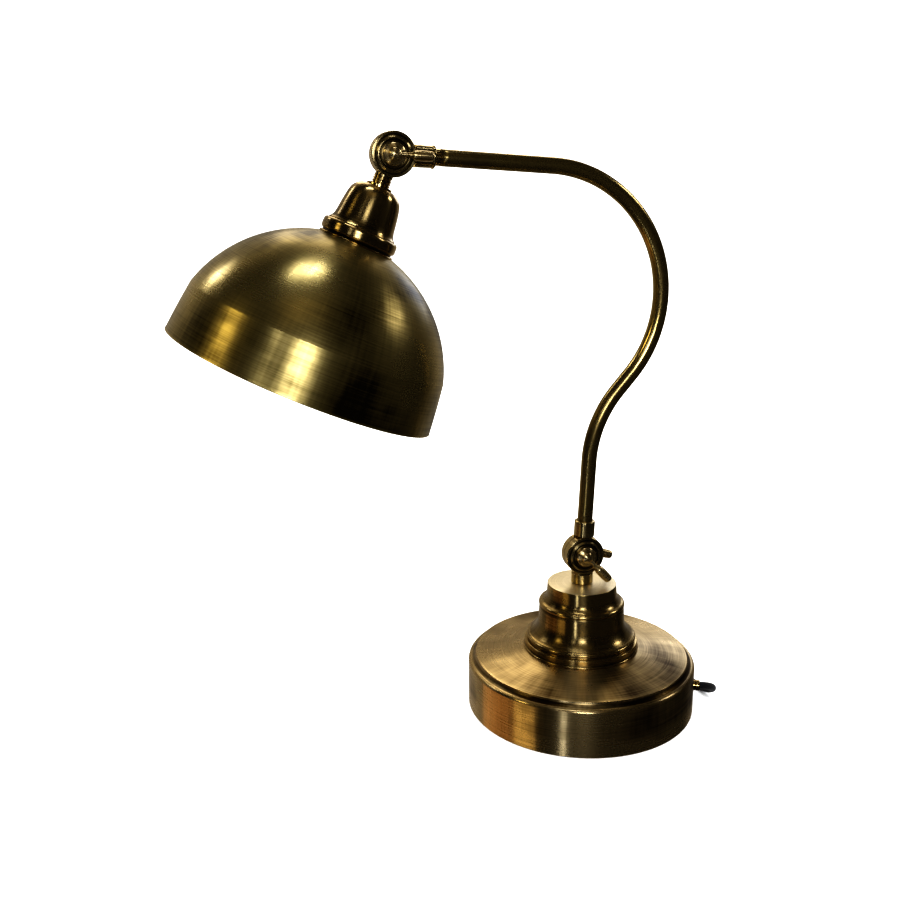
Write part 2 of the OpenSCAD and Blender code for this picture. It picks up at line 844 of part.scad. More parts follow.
module bell() {
    lip_t = 1.6;
    color(antique_brass) on_shade() turned() difference() {
        union() {
            bell_outline(0);
            band(0, bell_foot_d / 2 + 3, bell_foot - lip_t, bell_foot);
        }
        translate([bell_foot_d / 2 + 3, bell_foot - lip_t - 1.2]) circle(1.9);
        bell_outline(bell_wall);
        band(-1, bell_d / 2 - shoulder_r, bell_foot - 1, bell_foot + 1);
        band(-1, stem_r + run_gap, 0, bell_foot);
    }
}

// The gallery carries the shade: a bead, a plain band and a taper down to a polished foot.
module gallery() {
    bead = 1.7;
    out = gallery_d / 2;
    lip = 0.9;
    color(dark_brass) on_shade() turned() difference() {
        union() {
            translate([out - bead, bell_foot + bead + seat_gap]) circle(bead);
            band(0, out - bead, bell_foot + seat_gap, bell_foot + 2 * bead);
            polygon([
                [0, bell_foot + 2], [out - 0.7, bell_foot + 2], [out - 0.7, bell_foot + 6],
                [gallery_foot_r + 0.8, gallery_foot - lip], [0, gallery_foot - lip]
            ]);
            band(0, gallery_foot_r + 0.4, gallery_foot - 2, gallery_foot + 1);
        }
        band(-1, holder_r + 0.2, 0, big);
        translate([0, dome_c]) circle(dome_r + seat_gap);
    }
}

// Profile of the shade: part of a sphere, a crease and a nearly straight band to the rim.
module dome_outline(inset) {
    intersection() {
        translate([0, dome_c]) circle(dome_r - inset);
        band(0, big, dome_c - big, crease_t);
    }
    polygon([
        [0, crease_t - 0.01], [crease_r - inset, crease_t - 0.01],
        [rim_d / 2 - inset, rim_t + inset], [0, rim_t + inset]
    ]);
}

module dome_shade() {
    roll_r = roll_d / 2;
    color(antique_brass) on_shade() turned() {
        difference() {
            dome_outline(0);
            dome_outline(dome_wall);
            band(-1, holder_r + 0.3, 0, dome_c);
        }
        translate([rim_d / 2 - dome_wall / 2, rim_t]) circle(roll_r);
    }
}

module shade_ring_nut() {
    color(bright_brass) on_shade() turned() intersection() {
        band(holder_r + run_gap, ring_nut_r, gallery_foot - ring_nut_h, gallery_foot + ring_nut_h);
        translate([0, dome_c]) circle(dome_r - dome_wall - seat_gap);
    }
}

// ---- lampholder and bulb -------------------------------------------------------------------

module lampholder_cap() {
    wall = 1.2;
    r = holder_r - 2.5;
    neck_r = stem_r + 2.2;
    neck_top = stem_end - 3.5;
    color(bright_brass) on_shade() turned() difference() {
        union() {
            band(0, neck_r, neck_top, stem_end + 2);
            polygon([
                [0, stem_end], [neck_r, stem_end], [r, holder_top], [r, holder_top + 8],
                [0, holder_top + 8]
            ]);
        }
        polygon([
            [-1, stem_end + wall], [neck_r - wall, stem_end + wall], [r - wall, holder_top + wall],
            [r - wall, holder_top + 9], [-1, holder_top + 9]
        ]);
        band(-1, stem_r + run_gap, 0, stem_end + seat_gap);
        band(-1, stem_r - 1.5, 0, holder_top);
    }
}

module lampholder_body() {
    r = holder_r - 2.5 - 1.2 - seat_gap;
    bore = cap_r + 0.25 + shell_t + seat_gap;
    color(porcelain) on_shade() turned() difference() {
        union() {
            band(0, r, holder_top + 2, holder_top + 9);
            band(0, holder_r - 0.6, holder_top + 8 + seat_gap, gallery_foot - 6);
            band(0, holder_r, gallery_foot - 6, holder_end);
        }
        band(-1, bore, cap_top - 0.2, big);
        band(-1, 4, 0, big);
    }
}

module lampholder_shell() {
    r = cap_r + 0.25;
    color(bright_brass) on_shade() turned() difference() {
        band(0, r + shell_t, cap_top, holder_end - 2);
        band(-1, r, cap_top + shell_t, big);
        band(-1, 9, 0, big);
    }
}

module lampholder_contact() {
    color(bright_brass) on_shade() turned() {
        band(0, 3.95, cap_top - 5, cap_top - 1);
        band(0, 2.5, cap_top - 1.2, cap_top + 0.9);
    }
}

module bulb_tip() {
    color(dark_brass) on_shade() turned() {
        band(0, 4.4, cap_top + 1.0, cap_top + 1.8);
        band(0, 8, cap_top + 1.75, cap_top + 2.6);
    }
}

module bulb_cap() {
    color(zinc_steel) on_shade() turned() difference() {
        polygon([
            [0, cap_top + 2.6 + seat_gap], [8, cap_top + 2.6 + seat_gap], [cap_r, cap_top + 7],
            [cap_r, glass_t], [0, glass_t]
        ]);
        polygon([
            [-1, cap_top + 4], [7.2, cap_top + 4], [cap_r - 0.6, cap_top + 7.6],
            [cap_r - 0.6, glass_t + 1], [-1, glass_t + 1]
        ]);
    }
}

// Profile of the bulb's glass: a sphere that runs down a straight neck into the cap.
module glass_outline(inset) {
    r = bulb_d / 2 - inset;
    neck = cap_r - 0.9 - inset;
    reach = bulb_c - glass_t;
    far = sqrt(pow(reach, 2) + pow(neck, 2));
    touch = acos(r / far) + atan(neck / reach);
    translate([0, bulb_c]) circle(r);
    polygon([
        [0, glass_t - 8], [neck, glass_t - 8], [neck, glass_t],
        [r * sin(touch), bulb_c - r * cos(touch)], [0, bulb_c]
    ]);
}

module bulb_glass() {
    glass_wall = 0.8;
    color(opal_glass) on_shade() turned() difference() {
        glass_outline(0);
        glass_outline(glass_wall);
        band(-1, cap_r - 0.9 - glass_wall, glass_t - 9, glass_t);
    }
}

// ---- cord ----------------------------------------------------------------------------------

function unit(v) = v / norm(v);
function heading_at(p, i) = unit(p[min(i + 1, len(p) - 1)] - p[max(i - 1, 0)]);

// One ring of a tube: points round a route point, square to the route.
function ring_points(p, i, r, n) =
    let (d = heading_at(p, i), side = unit(cross(d, [0, 0, 1])), up = cross(side, d))
    [for (k = [0 : n - 1]) p[i] + r * (cos(360 * k / n) * side + sin(360 * k / n) * up)];

// A round tube along a route, closed at both ends.
module route_tube(p, r, n) {
    last = len(p) - 1;
    points = [for (i = [0 : last]) each ring_points(p, i, r, n)];
    walls = [for (i = [0 : last - 1], k = [0 : n - 1])
        let (a = i * n + k, b = i * n + (k + 1) % n) each [[a, b + n, b], [a, a + n, b + n]]];
    first_end = [for (k = [1 : n - 2]) [0, k, k + 1]];
    last_end = [for (k = [1 : n - 2]) [last * n, last * n + k + 1, last * n + k]];
    polyhedron(points, concat(walls, first_end, last_end));
}

// The coil: a spiral that runs in and out in layers and climbs where it reverses.
coil_in = coil_out - coil_pitch * turns_a_layer;
function ease(x) = let (c = min(max(x, 0), 1)) c * c * (3 - 2 * c);
function layers_climbed(u) =
    ease((u - turns_a_layer) * 2 + 0.5) + ease((u - 2 * turns_a_layer) * 2 + 0.5)
    + ease((u - 3 * turns_a_layer) * 2 + 0.5);
function coil_radius(u) =
    let (phase = u / turns_a_layer, k = min(floor(phase), coil_layers - 1), f = phase - k)
    k % 2 == 0 ? coil_out - (coil_out - coil_in) * f : coil_in + (coil_out - coil_in) * f;
function coil_point(u) = [
    coil_c[0] + coil_radius(u) * cos(360 * u),
    coil_c[1] + coil_radius(u) * sin(360 * u),
    coil_z + coil_pitch * layers_climbed(u)];
coil_loops = [for (i = [0 : coil_turns * coil_rings]) coil_point(i / coil_rings)];
coil_first = coil_loops[0];
coil_last = coil_loops[len(coil_loops) - 1];
coil_route = concat(
    [coil_first - [0, cord_d, 0]], coil_loops, [coil_last + [0, cord_d, 0]]);

// Least gap between turns: every pair of points more than a third of a turn apart.
coil_gap = min([for (i = [0 : len(coil_route) - 1], j = [i + coil_rings / 3 : len(coil_route) - 1])
    norm(coil_route[i] - coil_route[j])]) - cord_d;
function route_length(p, i = 0) =
    i >= len(p) - 1 ? 0 : norm(p[i + 1] - p[i]) + route_length(p, i + 1);
echo(coil_least_gap = coil_gap);
echo(cord_length = route_length(lead_route) + route_length(link_route) + route_length(coil_route)
    + route_length(tail_route));

module cord_lead() {
    color(black_braid) route_tube(lead_route, cord_r, 10);
}

module cord_link() {
    color(black_braid) route_tube(link_route, cord_r, 10);
}

module cord_tail() {
    color(black_braid) route_tube(tail_route, cord_r, 10);
}

module cord_coil() {
    color(black_braid) route_tube(coil_route, cord_r, 6);
}

// The tie: a flat band round the whole bundle on the coil's far side.
module coil_tie() {
    bundle_w = coil_out - coil_in + cord_d + 0.6;
    bundle_h = coil_z + coil_pitch * (coil_layers - 1) + cord_r + 0.3;
    middle = (coil_out + coil_in) / 2;
    color(black_plastic) translate([coil_c[0], coil_c[1], 0]) rotate([0, 0, 200])
        translate([middle, tie_w / 2, 0]) rotate([90, 0, 0]) linear_extrude(tie_w) difference() {
            translate([-bundle_w / 2 - tie_t, 0.05]) square([bundle_w + 2 * tie_t, bundle_h + tie_t]);
            translate([-bundle_w / 2, tie_t]) square([bundle_w, bundle_h - tie_t]);
        }
}

// ---- switch on the cord --------------------------------------------------------------------

// The switch's outline from above: straight sides between round ends.
module switch_plan(inset) {
    intersection() {
        square([switch_w - 2 * inset, switch_l], center = true);
        circle(switch_l / 2 - inset);
    }
}

module on_switch() {
    translate([switch_c[0], switch_c[1], 0]) children();
}

// The two cord entries, which both shells share.
module switch_entries() {
    for (y = [-switch_l / 2, switch_l / 2])
        translate([0, y, switch_seam]) rotate([90, 0, 0])
            cylinder(r = cord_r + run_gap, h = 13, center = true);
}

// The hollow inside the switch, from above.
module switch_hollow() {
    intersection() {
        switch_plan(switch_wall);
        square([switch_w, switch_l - 2 * entry_l], center = true);
    }
}

module switch_base() {
    color(black_plastic) on_switch() difference() {
        linear_extrude(switch_seam) switch_plan(0);
        translate([0, 0, switch_wall]) linear_extrude(switch_seam) switch_hollow();
        switch_entries();
    }
}

module switch_cover() {
    foot = switch_seam + seat_gap;
    edge = 2;
    color(black_plastic) on_switch() difference() {
        union() {
            translate([0, 0, foot]) linear_extrude(switch_h - edge - foot) switch_plan(0);
            translate([0, 0, foot]) linear_extrude(switch_h - foot) switch_plan(edge / 2);
        }
        translate([0, 0, foot - 1]) linear_extrude(switch_h - switch_wall - foot + 1) switch_hollow();
        translate([0, 0, switch_h]) cube([rocker_w + 0.8, window_l, 12], center = true);
        translate([0, 0, rocker_z]) rotate([0, 90, 0])
            cylinder(r = rocker_pin_r + run_gap, h = 2 * rocker_pin_l + 0.2, center = true);
        switch_entries();
    }
}

// The rocker: a shallow V on a pin, tipped to its off side at rest.
module switch_rocker() {
    top = switch_h - rocker_z;
    color(black_plastic) on_switch() translate([0, 0, rocker_z]) rotate([rocker_tilt, 0, 0]) {
        rotate([90, 0, 90]) translate([0, 0, -rocker_w / 2]) linear_extrude(rocker_w) polygon([
            [-rocker_l / 2, 0.5], [-2, -2.4], [2, -2.4], [rocker_l / 2, 0.5],
            [rocker_l / 2, top + 1.6], [0, top + 0.4], [-rocker_l / 2, top + 1.6]
        ]);
        rotate([0, 90, 0]) cylinder(r = rocker_pin_r, h = 2 * rocker_pin_l, center = true);
    }
}

// ---- plug ----------------------------------------------------------------------------------

module plug_body() {
    round_r = 9;
    half = plug_t / 2;
    color(black_plastic) translate([plug_start[0], plug_start[1], 0]) difference() {
        union() {
            intersection() {
                linear_extrude(plug_t) {
                    translate([-plug_w / 2, plug_relief_l + round_r]) square([plug_w, plug_l - round_r]);
                    for (x = [-1, 1]) translate([x * (plug_w / 2 - round_r), plug_relief_l + round_r])
                        circle(round_r);
                    translate([round_r - plug_w / 2, plug_relief_l])
                        square([plug_w - 2 * round_r, round_r + 1]);
                }
                translate([0, 0, half]) rotate([-90, 0, 0]) linear_extrude(big) intersection() {
                    square([plug_w, plug_t], center = true);
                    rotate(45) square((plug_w + plug_t) * 0.66, center = true);
                }
            }
            translate([0, plug_relief_l + 1, half]) rotate([90, 0, 0])
                cylinder(r1 = cord_r + 2.2, r2 = cord_r + 0.9, h = plug_relief_l + 1 - 3);
        }
        translate([0, plug_relief_l - 1.5, half]) rotate([90, 0, 0]) cylinder(r = cord_r + run_gap, h = 30);
        plug_pin_places() cylinder(d = pin_d + 0.1, h = 10 + pin_l);
    }
}

module plug_pin_places() {
    for (x = [-pin_gap / 2, pin_gap / 2])
        translate([x, plug_relief_l + plug_l - 8, plug_t / 2]) rotate([-90, 0, 0]) children();
}

module plug_pins() {
    tip = 1.2;
    color(zinc_steel) translate([plug_start[0], plug_start[1], 0]) plug_pin_places() {
        cylinder(d = pin_d, h = 8 + pin_l - tip);
        translate([0, 0, 8 + pin_l - tip]) cylinder(d1 = pin_d, d2 = pin_d - 2, h = tip);
    }
}

// ---- what is drawn -------------------------------------------------------------------------

base_shell();
base_weight();
bottom_plate();
felt_pad();
bottom_screws();
foot_ring();
collar();
centre_tube();
centre_nut();
centre_washer();
cord_gland();
gland_nut();
terminal_block();
lower_knuckle_base();
lower_lever_screw();
lower_lever_nut();
lower_knuckle_arm();
lower_friction_washer();
arm_tube();
arm_cable();
tube_adaptor();
upper_knuckle_arm();
upper_friction_washer();
upper_knuckle_head();
upper_lever_screw();
upper_lever_nut();
stem_washer();
stem_nut();
bell();
gallery();
dome_shade();
shade_ring_nut();
lampholder_cap();
lampholder_body();
lampholder_shell();
lampholder_contact();
bulb_cap();
bulb_tip();
bulb_glass();
cord_lead();
switch_base();
switch_cover();
switch_rocker();
cord_link();
cord_coil();
coil_tie();
cord_tail();
plug_body();
plug_pins();
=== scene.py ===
import math
import bpy
import bmesh
from mathutils import Matrix, Vector


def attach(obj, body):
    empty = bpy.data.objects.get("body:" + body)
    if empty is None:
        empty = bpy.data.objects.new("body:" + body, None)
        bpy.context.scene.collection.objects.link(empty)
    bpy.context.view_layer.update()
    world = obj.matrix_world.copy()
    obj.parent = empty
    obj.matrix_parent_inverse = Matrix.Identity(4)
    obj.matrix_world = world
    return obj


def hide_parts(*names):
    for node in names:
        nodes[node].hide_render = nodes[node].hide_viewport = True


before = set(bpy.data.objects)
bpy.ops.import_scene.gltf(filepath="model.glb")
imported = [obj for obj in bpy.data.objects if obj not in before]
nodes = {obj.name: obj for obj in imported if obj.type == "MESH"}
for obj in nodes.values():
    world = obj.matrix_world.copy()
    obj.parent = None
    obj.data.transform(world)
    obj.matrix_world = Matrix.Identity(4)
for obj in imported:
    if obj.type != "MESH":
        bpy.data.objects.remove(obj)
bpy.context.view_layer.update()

scene = bpy.context.scene


# ---- Camera --------------------------------------------------------------------------------
# The photograph's own view: 15 degrees down, from a little to the left of the base's front.
# A plain lens with no shift; position and directions come from fitting the lamp's outlines.

camera_data = bpy.data.cameras.new("camera")
camera_data.sensor_fit = "HORIZONTAL"
camera_data.sensor_width = 36
camera_data.lens = 40.57
camera_data.clip_start = 0.01
camera = bpy.data.objects.new("camera", camera_data)
scene.collection.objects.link(camera)
camera_place = Vector((-0.2989, -0.7848, 0.4565))
view = Vector((0.2174, 0.9415, -0.2575)).normalized()
upward = Vector((0.0692, 0.2483, 0.9662))
upward = (upward - upward.dot(view) * view).normalized()
camera.matrix_world = (Matrix.Translation(camera_place)
                       @ Matrix((view.cross(upward), upward, -view)).transposed().to_4x4())
scene.camera = camera


# ---- Flex ----------------------------------------------------------------------------------
# Round two-core flex under a black textile braid, 6.5 mm thick and limp. It leaves the base
# through the gland, drops to the table, runs to the inline switch, and the rest lies wound in
# a tied coil behind the base with its plug. About 1.7 m outside the base.

def linear(hex_colour):
    """An sRGB hex colour as the linear RGBA that shaders take."""
    parts = [int(hex_colour[i:i + 2], 16) / 255 for i in (0, 2, 4)]
    shares = [c / 12.92 if c <= 0.04045 else ((c + 0.055) / 1.055) ** 2.4 for c in parts]
    return (*shares, 1)


def add(tree, kind, inputs=None, **settings):
    """Adds a node; inputs maps a socket's name or index to a value or to another's output."""
    node = tree.nodes.new(kind)
    for name, value in settings.items():
        setattr(node, name, value)
    for socket, value in (inputs or {}).items():
        if isinstance(value, bpy.types.NodeSocket):
            tree.links.new(value, node.inputs[socket])
        else:
            node.inputs[socket].default_value = value
    return node


def new_finish(name):
    """An empty material with its shader: returns the material, its tree and the shader."""
    finish = bpy.data.materials.new(name)
    finish.use_nodes = True
    return finish, finish.node_tree, finish.node_tree.nodes["Principled BSDF"]


def show(mesh, name, finish, body, slot_name, *replaced):
    """Makes a finished piece of a mesh, riding on a body, in place of CAD nodes if any."""
    if not mesh.materials:
        mesh.materials.append(finish)
    piece = bpy.data.objects.new(name, mesh)
    scene.collection.objects.link(piece)
    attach(piece, body)
    if replaced:
        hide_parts(*replaced)
    return piece


# Polyester braid: a matt black sleeve of crossing bundles, a little over 1 mm wide, so the eye
# sees a fine diamond grain with a soft sheen along the turns.
bundles_round = 16  # half waves of the weave round the flex
bundle_run = 0.0018  # metres of a half wave along it
braid, tree, shader = new_finish("black_textile_braid")
around = add(tree, "ShaderNodeUVMap", uv_map="along")
parts = add(tree, "ShaderNodeSeparateXYZ", {0: around.outputs[0]})
lines = []
for sense in (1, -1):
    turn_share = add(tree, "ShaderNodeMath", {0: parts.outputs[0], 1: bundles_round * sense},
                     operation="MULTIPLY")
    slant = add(tree, "ShaderNodeMath", {0: parts.outputs[1], 1: 1 / bundle_run,
                                         2: turn_share.outputs[0]}, operation="MULTIPLY_ADD")
    wave = add(tree, "ShaderNodeMath", {0: slant.outputs[0], 1: 1.0}, operation="PINGPONG")
    lines.append(wave.outputs[0])
weave = add(tree, "ShaderNodeMath", {0: lines[0], 1: lines[1]}, operation="MULTIPLY")
tone = add(tree, "ShaderNodeMix", {0: weave.outputs[0], 6: linear("080707"), 7: linear("1D1B1A")},
           data_type="RGBA")
tree.links.new(tone.outputs[2], shader.inputs["Base Color"])
relief = add(tree, "ShaderNodeBump", {"Height": weave.outputs[0], "Strength": 0.5,
                                      "Distance": 0.0003})
tree.links.new(relief.outputs[0], shader.inputs["Normal"])
shader.inputs["Roughness"].default_value = 0.72
shader.inputs["Sheen Weight"].default_value = 0.1
shader.inputs["Sheen Roughness"].default_value = 0.5


def flex_tube(name, path, radius, sides=16):
    """A closed round tube along a path of points, with its own map: share round, metres along."""
    mesh = bpy.data.meshes.new(name)
    form = bmesh.new()
    along = form.loops.layers.uv.new("along")
    rings, run = [], [0.0]
    side = None
    for i, point in enumerate(path):
        heading = (path[min(i + 1, len(path) - 1)] - path[max(i - 1, 0)]).normalized()
        if side is None:
            side = heading.cross(Vector((0, 0, 1))).normalized()
        side = (side - side.dot(heading) * heading).normalized()
        top = heading.cross(side)
        rings.append([form.verts.new(point + radius * (math.cos(math.tau * k / sides) * side
                                                       + math.sin(math.tau * k / sides) * top))
                      for k in range(sides)])
        if i:
            run.append(run[-1] + (point - path[i - 1]).length)
    for i in range(len(rings) - 1):
        for k in range(sides):
            n = (k + 1) % sides
            face = form.faces.new((rings[i][k], rings[i][n], rings[i + 1][n], rings[i + 1][k]))
            face.smooth = True
            marks = ((k, i), (k + 1, i), (k + 1, i + 1), (k, i + 1))
            for corner, (share, step) in zip(face.loops, marks):
                corner[along].uv = (share / sides, run[step])
    form.faces.new(rings[0])
    form.faces.new(list(reversed(rings[-1])))
    bmesh.ops.recalc_face_normals(form, faces=form.faces)
    form.to_mesh(mesh)
    form.free()
    return mesh, run[-1]


def curved(points, steps=3):
    """The same route with more points on a smooth curve through the chosen ones."""
    out = []
    for i in range(len(points) - 1):
        a, b = points[max(i - 1, 0)], points[i]
        c, d = points[i + 1], points[min(i + 2, len(points) - 1)]
        for k in range(steps):
            t = k / steps
            out.append(0.5 * ((2 * b) + (c - a) * t + (2 * a - 5 * b + 4 * c - d) * t * t
                              + (3 * b - a - 3 * c + d) * t ** 3))
    return out + [points[-1]]


flex_radius = 0.00325
gland_turn = math.radians(-22)
gland_height = 20.5


def beside_gland(reach, rise=0.0):
    """A place in mm on the gland's line or above it, at a distance from the lamp's axis."""
    return (reach * math.cos(gland_turn), reach * math.sin(gland_turn), gland_height + rise)


# The route in mm: down to the gland inside the base, then round to the switch on the table.
lead_route = [beside_gland(*p) for p in (
    (72, 6.5), (75.8, 6.5), (79.3, 6), (82.4, 4.6), (85, 2.6), (87.6, 0.9), (90.3,), (96,),
    (105.6,))]
lead_route += [
    (102.6, -40.6, 20.1), (107.5, -39.8, 18.4), (111.6, -37.0, 15.6), (114.5, -32.8, 12.0),
    (115.7, -27.8, 8.6), (115.4, -22.6, 5.8), (114.2, -17.0, 4.1), (112.6, -10.5, 3.4),
    (110.8, -3.0, 3.3), (109.0, 6.0, 3.3), (107.7, 15.0, 3.5), (107.1, 24.0, 4.4),
    (107.0, 31.0, 5.9), (107.0, 36.5, 6.8), (107.0, 42.0, 7.0), (107.0, 47.0, 7.0)]
link_route = [
    (107.0, 89.0, 7.0), (107.0, 94.0, 7.0), (106.8, 98.5, 6.7), (105.8, 103.5, 5.8),
    (103.6, 108.5, 4.7), (100.4, 113.0, 3.8), (97.0, 116.8, 3.5), (94.0, 120.4, 3.7),
    (92.0, 124.2, 4.1), (91.1, 128.0, 4.3), (91.1, 131.5, 4.3)]
tail_route = [
    (91.1, 144.5, 25.3), (91.1, 148.0, 25.3), (91.1, 153.5, 24.3), (91.0, 159.5, 21.4),
    (90.8, 166.0, 17.0), (90.4, 172.5, 12.7), (90.0, 179.0, 9.4), (89.5, 185.5, 7.5),
    (89.1, 192.0, 6.9), (89.0, 198.0, 6.9), (89.0, 212.0, 6.9)]

coil_x, coil_y, coil_low = 52, 138, 4.3
coil_outer, coil_pitch, coil_layers, layer_turns = 39.1, 7.0, 4, 1.75
coil_inner = coil_outer - coil_pitch * layer_turns
turn_steps = 24


def coil_point(turn):
    """The coil spirals in and out in layers, and climbs for half a turn where it reverses."""
    layer = min(int(turn / layer_turns), coil_layers - 1)
    share = turn / layer_turns - layer
    reach = coil_outer + (coil_inner - coil_outer) * (share if layer % 2 == 0 else 1 - share)
    climb = 0.0
    for k in range(1, coil_layers):
        x = min(max((turn - k * layer_turns) * 2 + 0.5, 0), 1)
        climb += x * x * (3 - 2 * x)
    return (coil_x + reach * math.cos(math.tau * turn), coil_y + reach * math.sin(math.tau * turn),
            coil_low + coil_pitch * climb)


def in_metres(points):
    """Places in mm as vectors in metres."""
    return [Vector(p) / 1000 for p in points]


coil_steps = round(coil_layers * layer_turns * turn_steps)
coil_route = in_metres([coil_point(i / turn_steps) for i in range(coil_steps + 1)])
lead_path = curved(in_metres(lead_route))
rest_path = curved(in_metres(link_route)) + coil_route + curved(in_metres(tail_route))

lead_mesh, lead_length = flex_tube("flex_lead", lead_path, flex_radius)
rest_mesh, rest_length = flex_tube("flex_coil", rest_path, flex_radius)
flex_lead = show(lead_mesh, "flex_lead", braid, "base", "braid", "cord_lead")
flex_rest = show(rest_mesh, "flex_coil", braid, "base", "braid",
                 "cord_link", "cord_coil", "cord_tail")


# ---- Base shell ----------------------------------------------------------------------------
# Spun from 1.5 mm brass sheet over a wooden form: straight wall, rolled rim bead, hollow step
# and a slightly conical top. Darkened with antique patina, then brushed on the lathe.

def arc(r, z, radius, start, end, steps):
    """Points of a circular arc in a turning profile, angles in degrees from the outward radius."""
    angles = [math.radians(start + (end - start) * k / steps) for k in range(steps + 1)]
    return [(r + radius * math.cos(a), z + radius * math.sin(a)) for a in angles]


def bent(r0, z0, r1, z1, bulge, steps):
    """Points of a gently crowned line between two places of a profile."""
    out = []
    for k in range(steps + 1):
        t = k / steps
        push = 4 * bulge * t * (1 - t)
        across = Vector((z1 - z0, r0 - r1)).normalized() * push
        out.append((r0 + (r1 - r0) * t + across.x, z0 + (z1 - z0) * t + across.y))
    return out


def turned(name, profile, place=Matrix.Identity(4), sides=192, sharp=35.0, crease=None):
    """Turns a closed profile of (radius, height) in mm round its axis, and puts it in its place.
    It keeps a map of metres round and along, and how much each ring stands proud or lies deep.
    The ring numbered by crease keeps a sharp edge, however flat it is."""
    wear_width, wear_reach = 1.1, 4  # mm that a corner's wear spreads, and where it is cut off
    mesh = bpy.data.meshes.new(name)
    form = bmesh.new()
    spun = form.loops.layers.uv.new("spun")
    worn = form.verts.layers.float.new("worn")
    count = len(profile)
    edges = [Vector(profile[(i + 1) % count]) - Vector(profile[i]) for i in range(count)]
    run = [0.0]
    for edge in edges:
        run.append(run[-1] + edge.length)
    turns = []
    for before, after in zip(edges[-1:] + edges, edges):
        turns.append(before.angle_signed(after, 0) if before.length and after.length else 0)
    sense = 1 if sum(turns) > 0 else -1
    proud = []
    for i in range(count):
        near = 0.0
        for j in range(count):
            gap = abs(run[i] - run[j])
            gap = min(gap, run[-1] - gap)
            if gap < wear_reach:
                near += turns[j] * sense * math.exp(-(gap / wear_width) ** 2)
        proud.append(max(-1, min(1, near)))
    rings = []
    for (r, z), p in zip(profile, proud):
        if r < 1e-6:
            ring = [form.verts.new((0, 0, z / 1000))] * sides
        else:
            ring = [form.verts.new((r / 1000 * math.cos(math.tau * k / sides),
                                    r / 1000 * math.sin(math.tau * k / sides), z / 1000))
                    for k in range(sides)]
        for vertex in set(ring):
            vertex[worn] = p
        rings.append(ring)
    widest = max(r for r, z in profile)
    for i in range(count):
        low, high = rings[i], rings[(i + 1) % count]
        if low[0] is low[1] and high[0] is high[1]:
            continue
        for k in range(sides):
            n = (k + 1) % sides
            corners = [(low[k], k, i), (low[n], k + 1, i),
                       (high[n], k + 1, i + 1), (high[k], k, i + 1)]
            kept = [c for j, c in enumerate(corners) if c[0] is not corners[j - 1][0]]
            face = form.faces.new([c[0] for c in kept])
            face.smooth = True
            for corner, (vertex, share, step) in zip(face.loops, kept):
                corner[spun].uv = (share / sides * math.tau * widest / 1000, run[step] / 1000)
    bmesh.ops.recalc_face_normals(form, faces=form.faces)
    form.verts.index_update()
    creased = {vertex.index for vertex in rings[crease]} if crease is not None else set()
    form.to_mesh(mesh)
    form.free()
    mesh.set_sharp_from_angle(angle=math.radians(sharp))
    for edge in mesh.edges:
        if creased.issuperset(edge.vertices):
            edge.use_edge_sharp = True
    mesh.transform(place)
    mesh.update()
    return mesh


